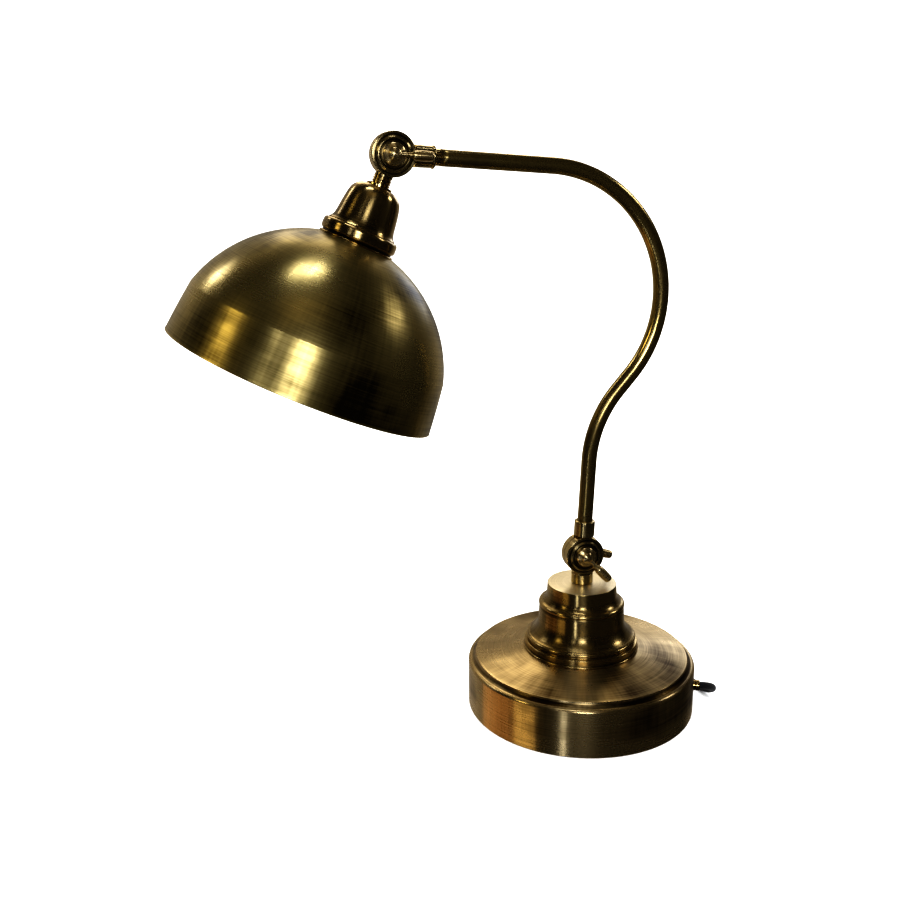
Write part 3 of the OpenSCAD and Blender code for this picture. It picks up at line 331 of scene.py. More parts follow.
def patina_brass(name, light, dark, rough, mottle, grain=0.35, brushed=True, stretch=0.85):
    """Antique brass: metal with a brown patina that is rubbed thin on proud edges and thick in
    hollows. Turned pieces show fine lathe lines that stretch each highlight across them.
    Mottle is how far the patina varies in clouds, and grain is how deep the marks are."""
    finish, tree, shader = new_finish(name)
    place = add(tree, "ShaderNodeTexCoord").outputs["Object"]
    clouds = add(tree, "ShaderNodeTexNoise", {"Vector": place, "Scale": 14.0, "Detail": 3.0,
                                              "Roughness": 0.55})
    worn = add(tree, "ShaderNodeAttribute", attribute_name="worn")
    spread = add(tree, "ShaderNodeMapRange", {
        "Value": clouds.outputs["Fac"], "From Min": 0.35, "From Max": 0.68,
        "To Min": 0.0, "To Max": mottle})
    thick = add(tree, "ShaderNodeMath", {0: worn.outputs["Fac"], 1: -0.55, 2: spread.outputs[0]},
                operation="MULTIPLY_ADD", use_clamp=True)
    if brushed:
        mark_share = 0.7
        spun = add(tree, "ShaderNodeUVMap", uv_map="spun").outputs[0]
        # Lathe lines about 1.2 mm apart, coarser than real ones so that they show.
        lathe = add(tree, "ShaderNodeMapping", {"Vector": spun, "Scale": (14.0, 850.0, 1.0)})
        ticks = add(tree, "ShaderNodeTexNoise", {"Vector": lathe.outputs[0], "Scale": 1.0,
                                                 "Detail": 1.0, "Roughness": 0.5})
        # Faint marks across the lines, left by the abrasive pad, 3 mm apart.
        across = add(tree, "ShaderNodeMapping", {"Vector": spun, "Scale": (330.0, 24.0, 1.0)})
        hatch = add(tree, "ShaderNodeTexNoise", {"Vector": across.outputs[0], "Scale": 1.0,
                                                 "Detail": 0.5})
        marks = add(tree, "ShaderNodeMix", {0: 0.35, 2: ticks.outputs["Fac"],
                                            3: hatch.outputs["Fac"]}).outputs[0]
        tangent = add(tree, "ShaderNodeTangent", direction_type="UV_MAP", uv_map="spun")
        tree.links.new(tangent.outputs[0], shader.inputs["Tangent"])
        # The map runs round the piece, and light stretches across the lathe lines.
        shader.inputs["Anisotropic"].default_value = stretch
        shader.inputs["Anisotropic Rotation"].default_value = 0.25
    else:
        mark_share = 0.2
        marks = add(tree, "ShaderNodeTexNoise", {"Vector": place, "Scale": 420.0,
                                                 "Detail": 2.0}).outputs["Fac"]
    lined = add(tree, "ShaderNodeMath", {0: marks, 1: mark_share, 2: thick.outputs[0]},
                operation="MULTIPLY_ADD")
    span = {"Value": lined.outputs[0], "From Min": 0.2, "From Max": 1.05}
    shade = add(tree, "ShaderNodeMapRange", span)
    tone = add(tree, "ShaderNodeMix", {0: shade.outputs[0], 6: linear(light), 7: linear(dark)},
               data_type="RGBA")
    tree.links.new(tone.outputs[2], shader.inputs["Base Color"])
    gloss = add(tree, "ShaderNodeMapRange", {**span, "To Min": rough - 0.04, "To Max": rough + 0.1})
    tree.links.new(gloss.outputs[0], shader.inputs["Roughness"])
    relief = add(tree, "ShaderNodeBump", {"Height": marks, "Strength": grain, "Distance": 0.00004})
    tree.links.new(relief.outputs[0], shader.inputs["Normal"])
    shader.inputs["Metallic"].default_value = 1.0
    return finish


base_brass = patina_brass("spun_antique_brass", "CDB686", "4A3A1C", 0.28, 0.7, grain=0.15)
shell_profile = ([(100.0, 0.9), (100.0, 20.0), (100.0, 40.2)]
                 + arc(97.5, 40.2, 2.5, 0, 82, 14)[1:] + arc(98.0, 47.4, 4.4, 268, 184, 14)
                 + arc(93.0, 46.8, 0.62, 0, 98, 6) + bent(92.6, 47.5, 51.0, 53.95, 0.0, 14)
                 + [(50.4, 54.0), (40.0, 54.0), (5.3, 54.0), (5.3, 52.5), (49.7, 52.5),
                    (92.1, 44.4), (98.5, 39.2), (98.5, 0.9), (98.8, 0.5), (99.7, 0.5)])
shell = turned("base_shell_spun", shell_profile)
show(shell, "base_shell_spun", base_brass, "base", "antique_brass", "base_shell")


# ---- Foot ring and collar ------------------------------------------------------------------
# Turned brass. The ring lies on the base's top; the collar stands on it in two tiers, each
# with a hollow flare over a rounded bead. The centre tube clamps them all together.

collar_brass = patina_brass("turned_antique_brass", "BFA772", "40341A", 0.25, 0.7)
# The top is left as the lathe's facing cut, with a fine matt grain. Its paler colour is also
# a painted reflection of the bright wall behind the lamp.
faced_brass_with_painted_reflection = patina_brass("faced_brass_with_painted_reflection", "E0D3B2", "97845A", 0.4, 0.5, grain=0.3, stretch=0.25)
collar_top = 113.4
ring_profile = ([(41.7, 54.05), (49.7, 54.05)] + arc(49.75, 54.95, 0.88, -80, 85, 8)
                + [(49.75, 56.2), (49.7, 60.9)] + arc(49.0, 60.9, 0.7, 0, 90, 6) + [(41.7, 61.6)])
foot_ring = turned("foot_ring_turned", ring_profile)
show(foot_ring, "foot_ring_turned", collar_brass, "base", "antique_brass", "foot_ring")
collar_profile = ([(42.0, 61.65), (46.7, 61.65), (46.7, 62.9), (46.5, 63.2)]
                  + arc(46.4, 64.8, 1.6, -86, 78, 12) + [(46.62, 66.6)]
                  + arc(50.7, 79.4, 13.0, 251.6, 180, 16)
                  + [(37.55, 82.0), (37.3, 90.0), (37.2, 92.6), (37.0, 93.2)]
                  + arc(35.2, 94.8, 2.4, -40, 84, 12) + [(35.42, 97.22)]
                  + arc(37.2, 103.5, 6.5, 255.5, 180, 12)
                  + [(30.5, 106.5), (30.2, 112.7)] + arc(29.5, 112.7, 0.7, 0, 90, 6)
                  + [(20.0, collar_top), (5.2, collar_top), (5.2, 111.0), (27.8, 111.0),
                     (27.8, 100.8), (34.8, 93.8), (34.8, 77.6), (41.7, 63.6)])
collar = turned("collar_turned", collar_profile)
collar.materials.append(collar_brass)
collar.materials.append(faced_brass_with_painted_reflection)
# Faces of the flat top take the paler finish: a facing cut with a painted reflection.
for face in collar.polygons:
    if face.center.z * 1000 > collar_top - 0.1 and face.normal.z > 0.9:
        face.material_index = 1
show(collar, "collar_turned", collar_brass, "base", "antique_brass", "collar")


# ---- Cord gland ----------------------------------------------------------------------------
# A small turned brass bush through the side wall, polished by handling, with a rounded mouth.

gland_brass = patina_brass("polished_brass", "DBC184", "7A5E30", 0.16, 0.35)
gland_place = (Matrix.Rotation(gland_turn, 4, "Z")
               @ Matrix.Translation((0, 0, gland_height / 1000))
               @ Matrix.Rotation(math.radians(90), 4, "Y"))
gland_profile = ([(3.3, 91.0), (4.1, 91.0), (4.1, 100.02), (4.6, 100.02), (4.6, 101.2),
                  (4.35, 101.5), (4.35, 102.1), (4.6, 102.4)]
                 + arc(3.75, 104.75, 0.85, 0, 90, 6) + [(3.3, 105.4)])
gland = turned("gland_bush", gland_profile, gland_place, sides=64)
show(gland, "gland_bush", gland_brass, "base", "bright_brass", "cord_gland")


# ---- Knuckles ------------------------------------------------------------------------------
# Each knuckle is two cast and turned brass discs on one screw. A disc has a bevelled ring, a
# groove and a seat for the lever; its neck is whole beyond the other disc, halved beside it.

lower_joint = Vector((0, 0, 0.1401))
upper_joint = Vector((-0.159558, 0, 0.475448))
knuckle_brass = patina_brass("cast_antique_brass", "D2BD8A", "3A2F16", 0.24, 0.6)
disc_profile = ([(3.05, 0.55), (17.0, 0.55)] + arc(16.2, 6.75, 0.8, 0, 90, 6)
                + arc(14.4, 7.75, 0.2, 270, 230, 3) + arc(12.25, 8.95, 0.2, 45, 90, 3)
                + arc(10.6, 9.15, 0.9, 360, 200, 9) + [(9.7, 8.7), (9.7, 8.15), (3.05, 8.15)])


def facing(joint, front):
    """The place of a piece turned round a knuckle's screw, front at -Y or rear at +Y."""
    return Matrix.Translation(joint) @ Matrix.Rotation(math.radians(90 if front else -90), 4, "X")


def towards(joint, heading):
    """The place of a piece turned round a line that leaves a joint at a heading from +Z to +X."""
    return Matrix.Translation(joint) @ Matrix.Rotation(math.radians(heading), 4, "Y")


def half_neck(name, radius, place, front):
    """The part of a neck beside the other disc: a half round block under the disc's flat."""
    flat, top = 0.58, 7.52  # mm from the plane between the discs
    start, end = 10.5, 17.9  # mm from the screw
    steps = 24
    mesh = bpy.data.meshes.new(name)
    form = bmesh.new()
    spun = form.loops.layers.uv.new("spun")
    form.verts.layers.float.new("worn")
    outline = []
    for k in range(steps + 1):
        angle = math.radians(180 * k / steps)
        outline.append((radius * math.cos(angle), max(flat, min(top, radius * math.sin(angle)))))
    sign = -1 if front else 1
    rings = [[form.verts.new((x / 1000, sign * y / 1000, h / 1000)) for x, y in outline]
             for h in (start, end)]
    for k in range(len(outline)):
        n = (k + 1) % len(outline)
        face = form.faces.new((rings[0][k], rings[0][n], rings[1][n], rings[1][k]))
        face.smooth = True
        for corner in face.loops:
            corner[spun].uv = (corner.vert.co.x, corner.vert.co.z)
    form.faces.new(rings[0])
    form.faces.new(rings[1])
    bmesh.ops.recalc_face_normals(form, faces=form.faces)
    form.to_mesh(mesh)
    form.free()
    mesh.set_sharp_from_angle(angle=math.radians(35))
    mesh.transform(place)
    return mesh


def joined(name, meshes):
    """One mesh of several that touch, each left as the closed solid that it is."""
    whole = bpy.data.meshes.new(name)
    form = bmesh.new()
    for mesh in meshes:
        form.from_mesh(mesh)
    form.to_mesh(whole)
    form.free()
    for mesh in meshes:
        bpy.data.meshes.remove(mesh)
    return whole


lower_heading, upper_heading, shade_heading = 2.6, 94.1, 204.5
stub_profile = [(2.45, 0.0), (9.2, 0.0), (9.4, 0.2), (9.4, 8.05), (8.2, 9.25), (2.45, 9.25)]
lower_socket_profile = ([(2.45, 0.0), (8.9, 0.0), (8.9, 11.5)] + arc(7.8, 12.0, 1.1, 0, 90, 6)
                        + [(6.6, 13.1), (6.6, 3.0), (2.45, 3.0)])
upper_socket_profile = ([(2.45, 0.0), (8.5, 0.0), (8.45, 2.0), (8.25, 13.1)]
                        + arc(7.6, 13.8, 1.3, -60, 60, 8)
                        + [(8.0, 15.1), (5.5, 15.1), (5.5, 3.0), (2.45, 3.0)])


def knuckle(name, joint, front, heading, neck, radius, body, node):
    """A disc, its half neck and the whole neck that starts clear of the other disc."""
    clear = Matrix.Translation((0, 0, 0.0174))
    disc = turned(name + "_disc", disc_profile, facing(joint, front), sides=96)
    stem = turned(name + "_neck", neck, towards(joint, heading) @ clear, sides=96)
    half = half_neck(name + "_half", radius, towards(joint, heading), front)
    show(joined(name, [disc, stem, half]), name, knuckle_brass, body, "antique_brass", node)


knuckle("lower_knuckle_on_base", lower_joint, True, 180, stub_profile, 9.3,
        "base", "lower_knuckle_base")
knuckle("lower_knuckle_on_arm", lower_joint, False, lower_heading, lower_socket_profile, 8.8,
        "arm", "lower_knuckle_arm")
knuckle("upper_knuckle_on_arm", upper_joint, False, upper_heading, upper_socket_profile, 8.4,
        "arm", "upper_knuckle_arm")


# ---- Threaded stem -------------------------------------------------------------------------
# The shade's disc is one piece with a threaded stem that screws into the bell. The thread is
# cut at 1.9 mm, coarser than the real 1.25 mm so that its crests show from across a table.

def grown(name, tree, values):
    """The mesh that a Geometry Nodes tree makes from nothing, with its inputs set by name."""
    host = bpy.data.objects.new(name, bpy.data.meshes.new(name))
    scene.collection.objects.link(host)
    modifier = host.modifiers.new("grow", "NODES")
    modifier.node_group = tree
    sockets = {item.name: item.identifier for item in tree.interface.items_tree
               if item.item_type == "SOCKET" and item.in_out == "INPUT"}
    for label, value in values.items():
        modifier[sockets[label]] = value
    bpy.context.view_layer.update()
    evaluated = host.evaluated_get(bpy.context.evaluated_depsgraph_get())
    mesh = bpy.data.meshes.new_from_object(evaluated)
    mesh.name = name
    host.modifiers.clear()
    bpy.data.objects.remove(host)
    return mesh


def new_tree(name, inputs):
    """A Geometry Nodes tree with named inputs: {name: (kind, value)}."""
    tree = bpy.data.node_groups.new(name, "GeometryNodeTree")
    for label, (kind, value) in inputs.items():
        socket = tree.interface.new_socket(label, in_out="INPUT", socket_type="NodeSocket" + kind)
        if value is not None:
            socket.default_value = value
    tree.interface.new_socket("Mesh", in_out="OUTPUT", socket_type="NodeSocketGeometry")
    source = tree.nodes.new("NodeGroupInput")
    target = tree.nodes.new("NodeGroupOutput")
    return tree, source.outputs, target.inputs[0]


def finish_tree(tree, geometry, material, target):
    """Ends a tree with real geometry in its material."""
    real = add(tree, "GeometryNodeRealizeInstances", {0: geometry})
    dressed = add(tree, "GeometryNodeSetMaterial", {0: real.outputs[0], "Material": material})
    tree.links.new(dressed.outputs[0], target)


thread_tree, given, made = new_tree("screw_thread", {
    "Crest radius": ("Float", 0.007), "Depth": ("Float", 0.0007), "Length": ("Float", 0.02),
    "Pitch": ("Float", 0.00125), "Finish": ("Material", None)})
turns = add(thread_tree, "ShaderNodeMath", {0: given["Length"], 1: given["Pitch"]},
            operation="DIVIDE")
root = add(thread_tree, "ShaderNodeMath", {0: given["Crest radius"], 1: given["Depth"]},
           operation="SUBTRACT")
helix = add(thread_tree, "GeometryNodeCurveSpiral", {
    "Resolution": 48, "Rotations": turns.outputs[0], "Start Radius": root.outputs[0],
    "End Radius": root.outputs[0], "Height": given["Length"]})
tooth = add(thread_tree, "GeometryNodeCurvePrimitiveCircle", {
    "Resolution": 4, "Radius": given["Depth"]})
ridge = add(thread_tree, "GeometryNodeCurveToMesh", {
    0: helix.outputs[0], 1: tooth.outputs[0], "Fill Caps": True})
finish_tree(thread_tree, ridge.outputs[0], given["Finish"], made)

thread_brass = patina_brass("cut_thread_brass", "D3B87A", "6B5026", 0.2, 0.4, grain=0.0,
                            brushed=False)
thread_start = 0.0189
stem_place = towards(upper_joint, shade_heading)
stem_profile = [(2.45, 0.0), (6.95, 0.0), (6.95, 0.5), (6.5, 0.9), (6.5, 18.7), (6.1, 19.1),
                (2.45, 19.1)]
knuckle("upper_knuckle_on_head", upper_joint, True, shade_heading, stem_profile, 7.0,
        "head", "upper_knuckle_head")
thread = grown("stem_thread", thread_tree, {
    "Crest radius": 0.0075, "Depth": 0.00075, "Length": 0.0168, "Pitch": 0.0019,
    "Finish": thread_brass})
thread.transform(stem_place @ Matrix.Translation((0, 0, thread_start)))
show(thread, "stem_thread", thread_brass, "head", "antique_brass")


# ---- Clamping levers -----------------------------------------------------------------------
# Each knuckle's screw and nut end in a domed hub with a round knob. A short barrel-shaped grip
# is pinned into the hub, to be turned by hand. Turned brass, rubbed bright on the grips.

def on_ball(centre, radius, reaches, side=1):
    """Points of a profile on a ball, above its centre or below it, at these radii."""
    return [(r, centre + side * math.sqrt(radius ** 2 - r * r)) for r in reaches]


def grip_profile(tip):
    """A lever along its own axis: thin neck and a grip 16 mm long that ends at the tip."""
    waist, barrel = 4, 60
    out = [(0.0, 3.0), (1.7, 3.0), (1.7, tip - 20), (2.1, tip - 17.9), (2.6, tip - 16.05),
           (2.8, tip - 16.0), (3.4, tip - 15.3), (3.64, tip - 14.6)]
    out += [(waist - barrel + math.sqrt(barrel ** 2 - s * s), tip - 8 + s)
            for s in (-5, -3.3, -1.5, 0, 1.5, 3.3, 5)]
    return out + [(3.64, tip - 1.4), (3.45, tip - 0.7), (2.9, tip - 0.15), (2.2, tip), (0.0, tip)]


lever_brass = patina_brass("handled_antique_brass", "DFC998", "846C3C", 0.27, 0.4)
hub_profile = ([(0.0, 8.45), (8.5, 8.45), (8.7, 8.65), (8.7, 10.3)]
               + on_ball(0.49, 13.3, (8.5, 8.0, 7.2, 6.2, 5.2)) + [(4.9, 12.95), (4.9, 13.2)]
               + on_ball(8.98, 6.5, (4.7, 4.2, 3.5, 2.6, 1.6, 0.8, 0.0)))
screw_profile = [(0.0, -12.15), (2.6, -12.15), (3.0, -11.75), (3.0, 9.0), (0.0, 9.0)]
grip_offset = 0.0136
for name, joint, front, heading, body in (
        ("lower_lever_screw", lower_joint, True, 137.0, "lower_front_lever"),
        ("lower_lever_nut", lower_joint, False, 106.0, "lower_rear_lever"),
        ("upper_lever_screw", upper_joint, True, 94.5, "upper_front_lever"),
        ("upper_lever_nut", upper_joint, False, 94.1, "upper_rear_lever")):
    tip = 29 if front else 33.5
    side = Matrix.Translation((0, -grip_offset if front else grip_offset, 0))
    forms = [turned(name + "_hub", hub_profile, facing(joint, front), sides=96),
             turned(name + "_grip", grip_profile(tip), side @ towards(joint, heading), sides=64)]
    if front:
        forms.append(turned(name + "_shank", screw_profile, facing(joint, front), sides=48))
    show(joined(name + "_turned", forms), name + "_turned", lever_brass, body, "antique_brass",
         name)


# ---- Arm -----------------------------------------------------------------------------------
# Brass tube, 13 mm across, bent cold to an S in one plane and dipped dark after bending. The
# patina is smooth here, with only a fine grain.

def s_path(from_low, from_up):
    """Points along the arm, in metres: stem, lower bend, slanted run, upper bend and top run.
    It starts and ends at these distances in mm from the lower and the upper joint.
    A run has its length in mm, a bend its radius in mm and the heading at its end."""
    run_step, bend_step = 6, 1.5  # mm and degrees between points
    x, z, heading = 0.0, 140.1, math.radians(lower_heading)
    runs = (("run", 83.4 - from_low), ("bend", 100.0, 40.6), ("run", 16.6),
            ("bend", 103.0, -85.9), ("run", 127.6 - from_up))
    x, z = x + from_low * math.sin(heading), z + from_low * math.cos(heading)
    points = [(x, z)]
    for kind, size, *to in runs:
        if kind == "run":
            steps = max(2, int(size / run_step))
            for k in range(1, steps + 1):
                points.append((x + size * k / steps * math.sin(heading),
                               z + size * k / steps * math.cos(heading)))
        else:
            end = math.radians(to[0])
            side = 1 if end > heading else -1
            steps = int(abs(math.degrees(end - heading)) / bend_step)
            for k in range(1, steps + 1):
                a = heading + (end - heading) * k / steps
                points.append((x + side * size * (math.cos(heading) - math.cos(a)),
                               z - side * size * (math.sin(heading) - math.sin(a))))
            heading = end
        x, z = points[-1]
    return [Vector((px / 1000, 0, pz / 1000)) for px, pz in points]


def line_of(name, points):
    """A bare mesh line through points, for a tree to sweep along."""
    mesh = bpy.data.meshes.new(name)
    mesh.from_pydata(points, [(i, i + 1) for i in range(len(points) - 1)], [])
    line = bpy.data.objects.new(name, mesh)
    scene.collection.objects.link(line)
    return line


pipe_tree, given, made = new_tree("pipe_on_line", {
    "Line": ("Object", None), "Radius": ("Float", 0.0065), "Wall": ("Float", 0.001),
    "Sides": ("Int", 64), "Finish": ("Material", None)})
route = add(pipe_tree, "GeometryNodeObjectInfo", {"Object": given["Line"]})
spine = add(pipe_tree, "GeometryNodeMeshToCurve", {0: route.outputs["Geometry"]})
inner = add(pipe_tree, "ShaderNodeMath", {0: given["Radius"], 1: given["Wall"]},
            operation="SUBTRACT")
skins = []
for radius in (given["Radius"], inner.outputs[0]):
    ring = add(pipe_tree, "GeometryNodeCurvePrimitiveCircle", {
        "Resolution": given["Sides"], "Radius": radius})
    skin = add(pipe_tree, "GeometryNodeCurveToMesh", {
        0: spine.outputs[0], 1: ring.outputs[0], "Fill Caps": False})
    skins.append(skin.outputs[0])
inward = add(pipe_tree, "GeometryNodeFlipFaces", {0: skins[1]})
both = add(pipe_tree, "GeometryNodeJoinGeometry")
pipe_tree.links.new(skins[0], both.inputs[0])
pipe_tree.links.new(inward.outputs[0], both.inputs[0])
smooth = add(pipe_tree, "GeometryNodeSetShadeSmooth", {0: both.outputs[0]})
finish_tree(pipe_tree, smooth.outputs[0], given["Finish"], made)

tube_brass = patina_brass("dipped_antique_brass", "B5A06A", "342A14", 0.26, 0.75, grain=0.1,
                          brushed=False)
arm_line = line_of("arm_line", s_path(from_low=21.0, from_up=36.5))
arm_mesh = grown("arm_tube_bent", pipe_tree, {
    "Line": arm_line, "Radius": 0.0065, "Wall": 0.001, "Sides": 64, "Finish": tube_brass})
bpy.data.objects.remove(arm_line)
# The two skins are joined by a flat rim at each end, the lower end first.
between_ends = -0.05
form = bmesh.new()
form.from_mesh(arm_mesh)
rims = [e for e in form.edges if e.is_boundary]
bmesh.ops.bridge_loops(form, edges=[e for e in rims if e.verts[0].co.x > between_ends])
bmesh.ops.bridge_loops(form, edges=[e for e in rims if e.is_boundary])
form.to_mesh(arm_mesh)
form.free()
show(arm_mesh, "arm_tube_bent", tube_brass, "arm", "antique_brass", "arm_tube")

adaptor_profile = [(2.45, 24.5), (5.4, 24.5), (5.4, 32.55), (6.1, 32.55), (6.3, 32.75),
                   (6.3, 36.35), (6.1, 36.55), (5.4, 36.55), (5.4, 44.5), (2.45, 44.5)]
adaptor = turned("tube_adaptor_ring", adaptor_profile, towards(upper_joint, upper_heading),
                 sides=96)
show(adaptor, "tube_adaptor_ring", gland_brass, "arm", "bright_brass", "tube_adaptor")


# ---- Bell and gallery ----------------------------------------------------------------------
# The bell is spun brass over the lampholder, with a round shoulder and a flared foot. Below it
# the turned gallery, one round ring, carries the shade on a thin polished lip, made paler as a
# painted highlight line.

bell_brass = patina_brass("spun_bell_brass", "BFA772", "3C3118", 0.23, 0.65)
bell_profile = ([(7.45, 26.5)] + arc(9.4, 38.0, 11.5, -90, -22, 16)
                + [(20.75, 36.0), (21.3, 38.5), (21.8, 41.2), (22.25, 44.0), (22.7, 47.2),
                   (23.1, 50.4), (23.5, 53.2), (24.0, 55.6), (24.7, 57.5), (25.6, 58.9),
                   (26.6, 59.7), (26.9, 60.1), (26.7, 60.5), (23.4, 60.5), (22.1, 51.0),
                   (20.8, 41.0), (20.0, 36.5)]
                + arc(9.4, 38.0, 10.4, -22, -90, 14) + [(7.45, 27.6)])
bell = turned("bell_spun", bell_profile, stem_place)
show(bell, "bell_spun", bell_brass, "head", "antique_brass", "bell")

# The gallery's seat follows the dome, 0.05 mm clear of it. The lip's outside takes the polished
# brass, whose paler colour is a painted highlight line.
dome_centre, seat_radius = 176.93, 108.45
lip_height, lip_radius = 71.1, 28.2
gallery_profile = ([(19.2, 60.55), (26.4, 60.55)] + arc(27.0, 63.4, 2.8, -82, 0, 12)
                   + [(29.85, 65.4)] + arc(27.5, 67.6, 2.35, 0, 70, 10)
                   + [(27.95, 70.1), (27.8, 70.5), (28.1, 71.0), (29.4, 71.5), (29.8, 71.9),
                      (29.7, 72.4)]
                   + on_ball(dome_centre, seat_radius, (29.5, 25.6, 23.5, 21.5, 19.2), -1))
gallery = turned("gallery_turned", gallery_profile, stem_place)
gallery.materials.append(bell_brass)
gallery.materials.append(gland_brass)
# Faces on the lip's outside get the polished brass: partly real polish, partly a painted highlight.
for face in gallery.polygons:
    spot = stem_place.inverted() @ face.center * 1000
    if spot.z > lip_height and spot.xy.length > lip_radius:
        face.material_index = 1
show(gallery, "gallery_turned", bell_brass, "head", "antique_brass", "gallery")
washer_profile = [(7.45, 24.95), (9.8, 24.95), (10.0, 25.15), (10.0, 26.25), (9.8, 26.45),
                  (7.45, 26.45)]
washer = turned("stem_washer_turned", washer_profile, stem_place, sides=96)
show(washer, "stem_washer_turned", gland_brass, "head", "bright_brass", "stem_washer")


# ---- Dome shade ----------------------------------------------------------------------------
# Spun in one piece from 1.1 mm brass sheet: a dome, a faint crease and a nearly straight band
# that ends in a rolled edge. Brushed round and round, then lightly hatched by hand.

dome_brass = patina_brass("spun_shade_brass", "C2AF76", "3E3415", 0.29, 0.7, grain=0.15,
                          stretch=0.45)
dome_radius, sheet = 108.4, 1.1
hole_radius, crease_height, cap_steps = 19.5, 144.83, 60


def cap_points(radius):
    """Points on the dome from its hole at the crown down to the crease."""
    first = math.asin(hole_radius / radius)
    last = math.acos((dome_centre - crease_height) / radius)
    angles = [first + (last - first) * k / cap_steps for k in range(cap_steps + 1)]
    return [(radius * math.sin(a), dome_centre - radius * math.cos(a)) for a in angles]


outer = cap_points(dome_radius)
dome_profile = (outer + bent(103.75, 145.6, 108.6, 183.6, 0.25, 16)
                + arc(108.05, 184.33, 1.25, 40, 250, 12)
                + bent(107.3, 183.2, 102.6, 145.2, -0.25, 10)
                + list(reversed(cap_points(dome_radius - sheet))))
dome = turned("dome_spun", dome_profile, stem_place, sides=288, sharp=50, crease=len(outer))
show(dome, "dome_spun", dome_brass, "head", "antique_brass", "dome_shade")


# ---- Lampholder and bulb -------------------------------------------------------------------
# Brass cap over a glazed ceramic body with a thin brass screw shell, held by a ring nut under
# the shade. The bulb is an opal globe on a nickel-plated screw cap. All stock parts.

def smoothed(node_name):
    """A copy of a CAD node's mesh with its loose triangles merged, shaded smooth on its curves."""
    mesh = nodes[node_name].data.copy()
    form = bmesh.new()
    form.from_mesh(mesh)
    bmesh.ops.remove_doubles(form, verts=form.verts, dist=2e-6)
    for face in form.faces:
        face.smooth = True
    form.to_mesh(mesh)
    form.free()
    mesh.materials.clear()
    mesh.set_sharp_from_angle(angle=math.radians(30))
    return mesh


def plain_finish(name, light, dark, scale, metallic, rough, bump=0.1, distance=0.0001, **extra):
    """A finish with a fine grain: two close colours, and roughness and relief that follow it.
    Extra constants of the shader are given by name, with underscores for spaces."""
    finish, tree, shader = new_finish(name)
    place = add(tree, "ShaderNodeTexCoord").outputs["Object"]
    grain = add(tree, "ShaderNodeTexNoise", {"Vector": place, "Scale": scale, "Detail": 4.0,
                                             "Roughness": 0.6})
    broad = add(tree, "ShaderNodeTexNoise", {"Vector": place, "Scale": 30.0, "Detail": 1.0})
    blend = add(tree, "ShaderNodeMix", {0: 0.4, 2: grain.outputs["Fac"], 3: broad.outputs["Fac"]})
    tone = add(tree, "ShaderNodeMix", {0: blend.outputs[0], 6: linear(light), 7: linear(dark)},
               data_type="RGBA")
    tree.links.new(tone.outputs[2], shader.inputs["Base Color"])
    gloss = add(tree, "ShaderNodeMapRange", {
        "Value": blend.outputs[0], "To Min": max(rough - 0.08, 0.02), "To Max": rough + 0.08})
    tree.links.new(gloss.outputs[0], shader.inputs["Roughness"])
    relief = add(tree, "ShaderNodeBump", {"Height": grain.outputs["Fac"], "Strength": bump,
                                          "Distance": distance})
    tree.links.new(relief.outputs[0], shader.inputs["Normal"])
    shader.inputs["Metallic"].default_value = metallic
    for socket, value in extra.items():
        shader.inputs[socket.replace("_", " ")].default_value = value
    return finish


# Glazed steatite: warm white, glassy, with the faint unevenness of a dipped glaze.
porcelain = plain_finish("glazed_steatite", "EFEBE0", "E2DCCB", scale=60.0, metallic=0.0,
                         rough=0.12, bump=0.05, distance=0.0002)
# Deep-drawn brass, lacquered: brighter and plainer than the antique pieces.
drawn_brass = plain_finish("drawn_brass", "D9BE80", "B89A58", scale=300.0, metallic=1.0,
                           rough=0.24)
# Zinc-plated steel: pale grey with a soft spangle.
zinc = plain_finish("zinc_plated_steel", "BFC1C4", "9A9DA1", scale=500.0, metallic=1.0,
                    rough=0.32)
# Nickel-plated cap of a bulb, thin and bright.
nickel = plain_finish("nickel_plate", "CFCBC4", "B5B0A8", scale=400.0, metallic=1.0, rough=0.2)
for name, finish, slot_name in (
        ("lampholder_cap", drawn_brass, "bright_brass"),
        ("lampholder_body", porcelain, "porcelain"),
        ("lampholder_shell", drawn_brass, "bright_brass"),
        ("lampholder_contact", drawn_brass, "bright_brass"),
        ("shade_ring_nut", drawn_brass, "bright_brass"),
        ("bulb_cap", nickel, "bulb_metal"), ("bulb_tip", nickel, "bulb_metal")):
    show(smoothed(name), name + "_smooth", finish, "head", slot_name, name)

# Opal glass: milky and even, so the globe looks white and softly glossy when it is not lit.
opal = plain_finish("opal_glass", "CBC8BF", "C2BDB0", scale=20.0, metallic=0.0, rough=0.1,
                    bump=0.0, Subsurface_Weight=0.3, Subsurface_Radius=(0.004, 0.004, 0.004))
show(smoothed("bulb_glass"), "bulb_glass_smooth", opal, "head", "bulb_glass", "bulb_glass")

# The cap's rolled screw thread, drawn with the same thread tree as the stem.
cap_thread = grown("bulb_cap_thread", thread_tree, {
    "Crest radius": 0.0133, "Depth": 0.0008, "Length": 0.02, "Pitch": 0.0036, "Finish": nickel})
cap_thread_start = 0.0595
cap_thread.transform(stem_place @ Matrix.Translation((0, 0, cap_thread_start)))
show(cap_thread, "bulb_cap_thread", nickel, "head", "bulb_metal")


# ---- Inside the base -----------------------------------------------------------------------
# A cast iron weight, a steel plate with three screws, felt under it, and the centre tube with
# its nut and washer. The ceramic terminal block joins the flex to the arm's wires.

def dress(finish, *node_names):
    """Puts a finish on CAD nodes that keep their own meshes."""
    for node_name in node_names:
        for material_slot in nodes[node_name].material_slots:
            material_slot.material = finish


# Cast iron as it leaves the mould, under black primer: dull and pebbled.
iron = plain_finish("primed_cast_iron", "34353A", "1D1E21", scale=260.0, metallic=0.0,
                    rough=0.7, bump=0.6, distance=0.0006)
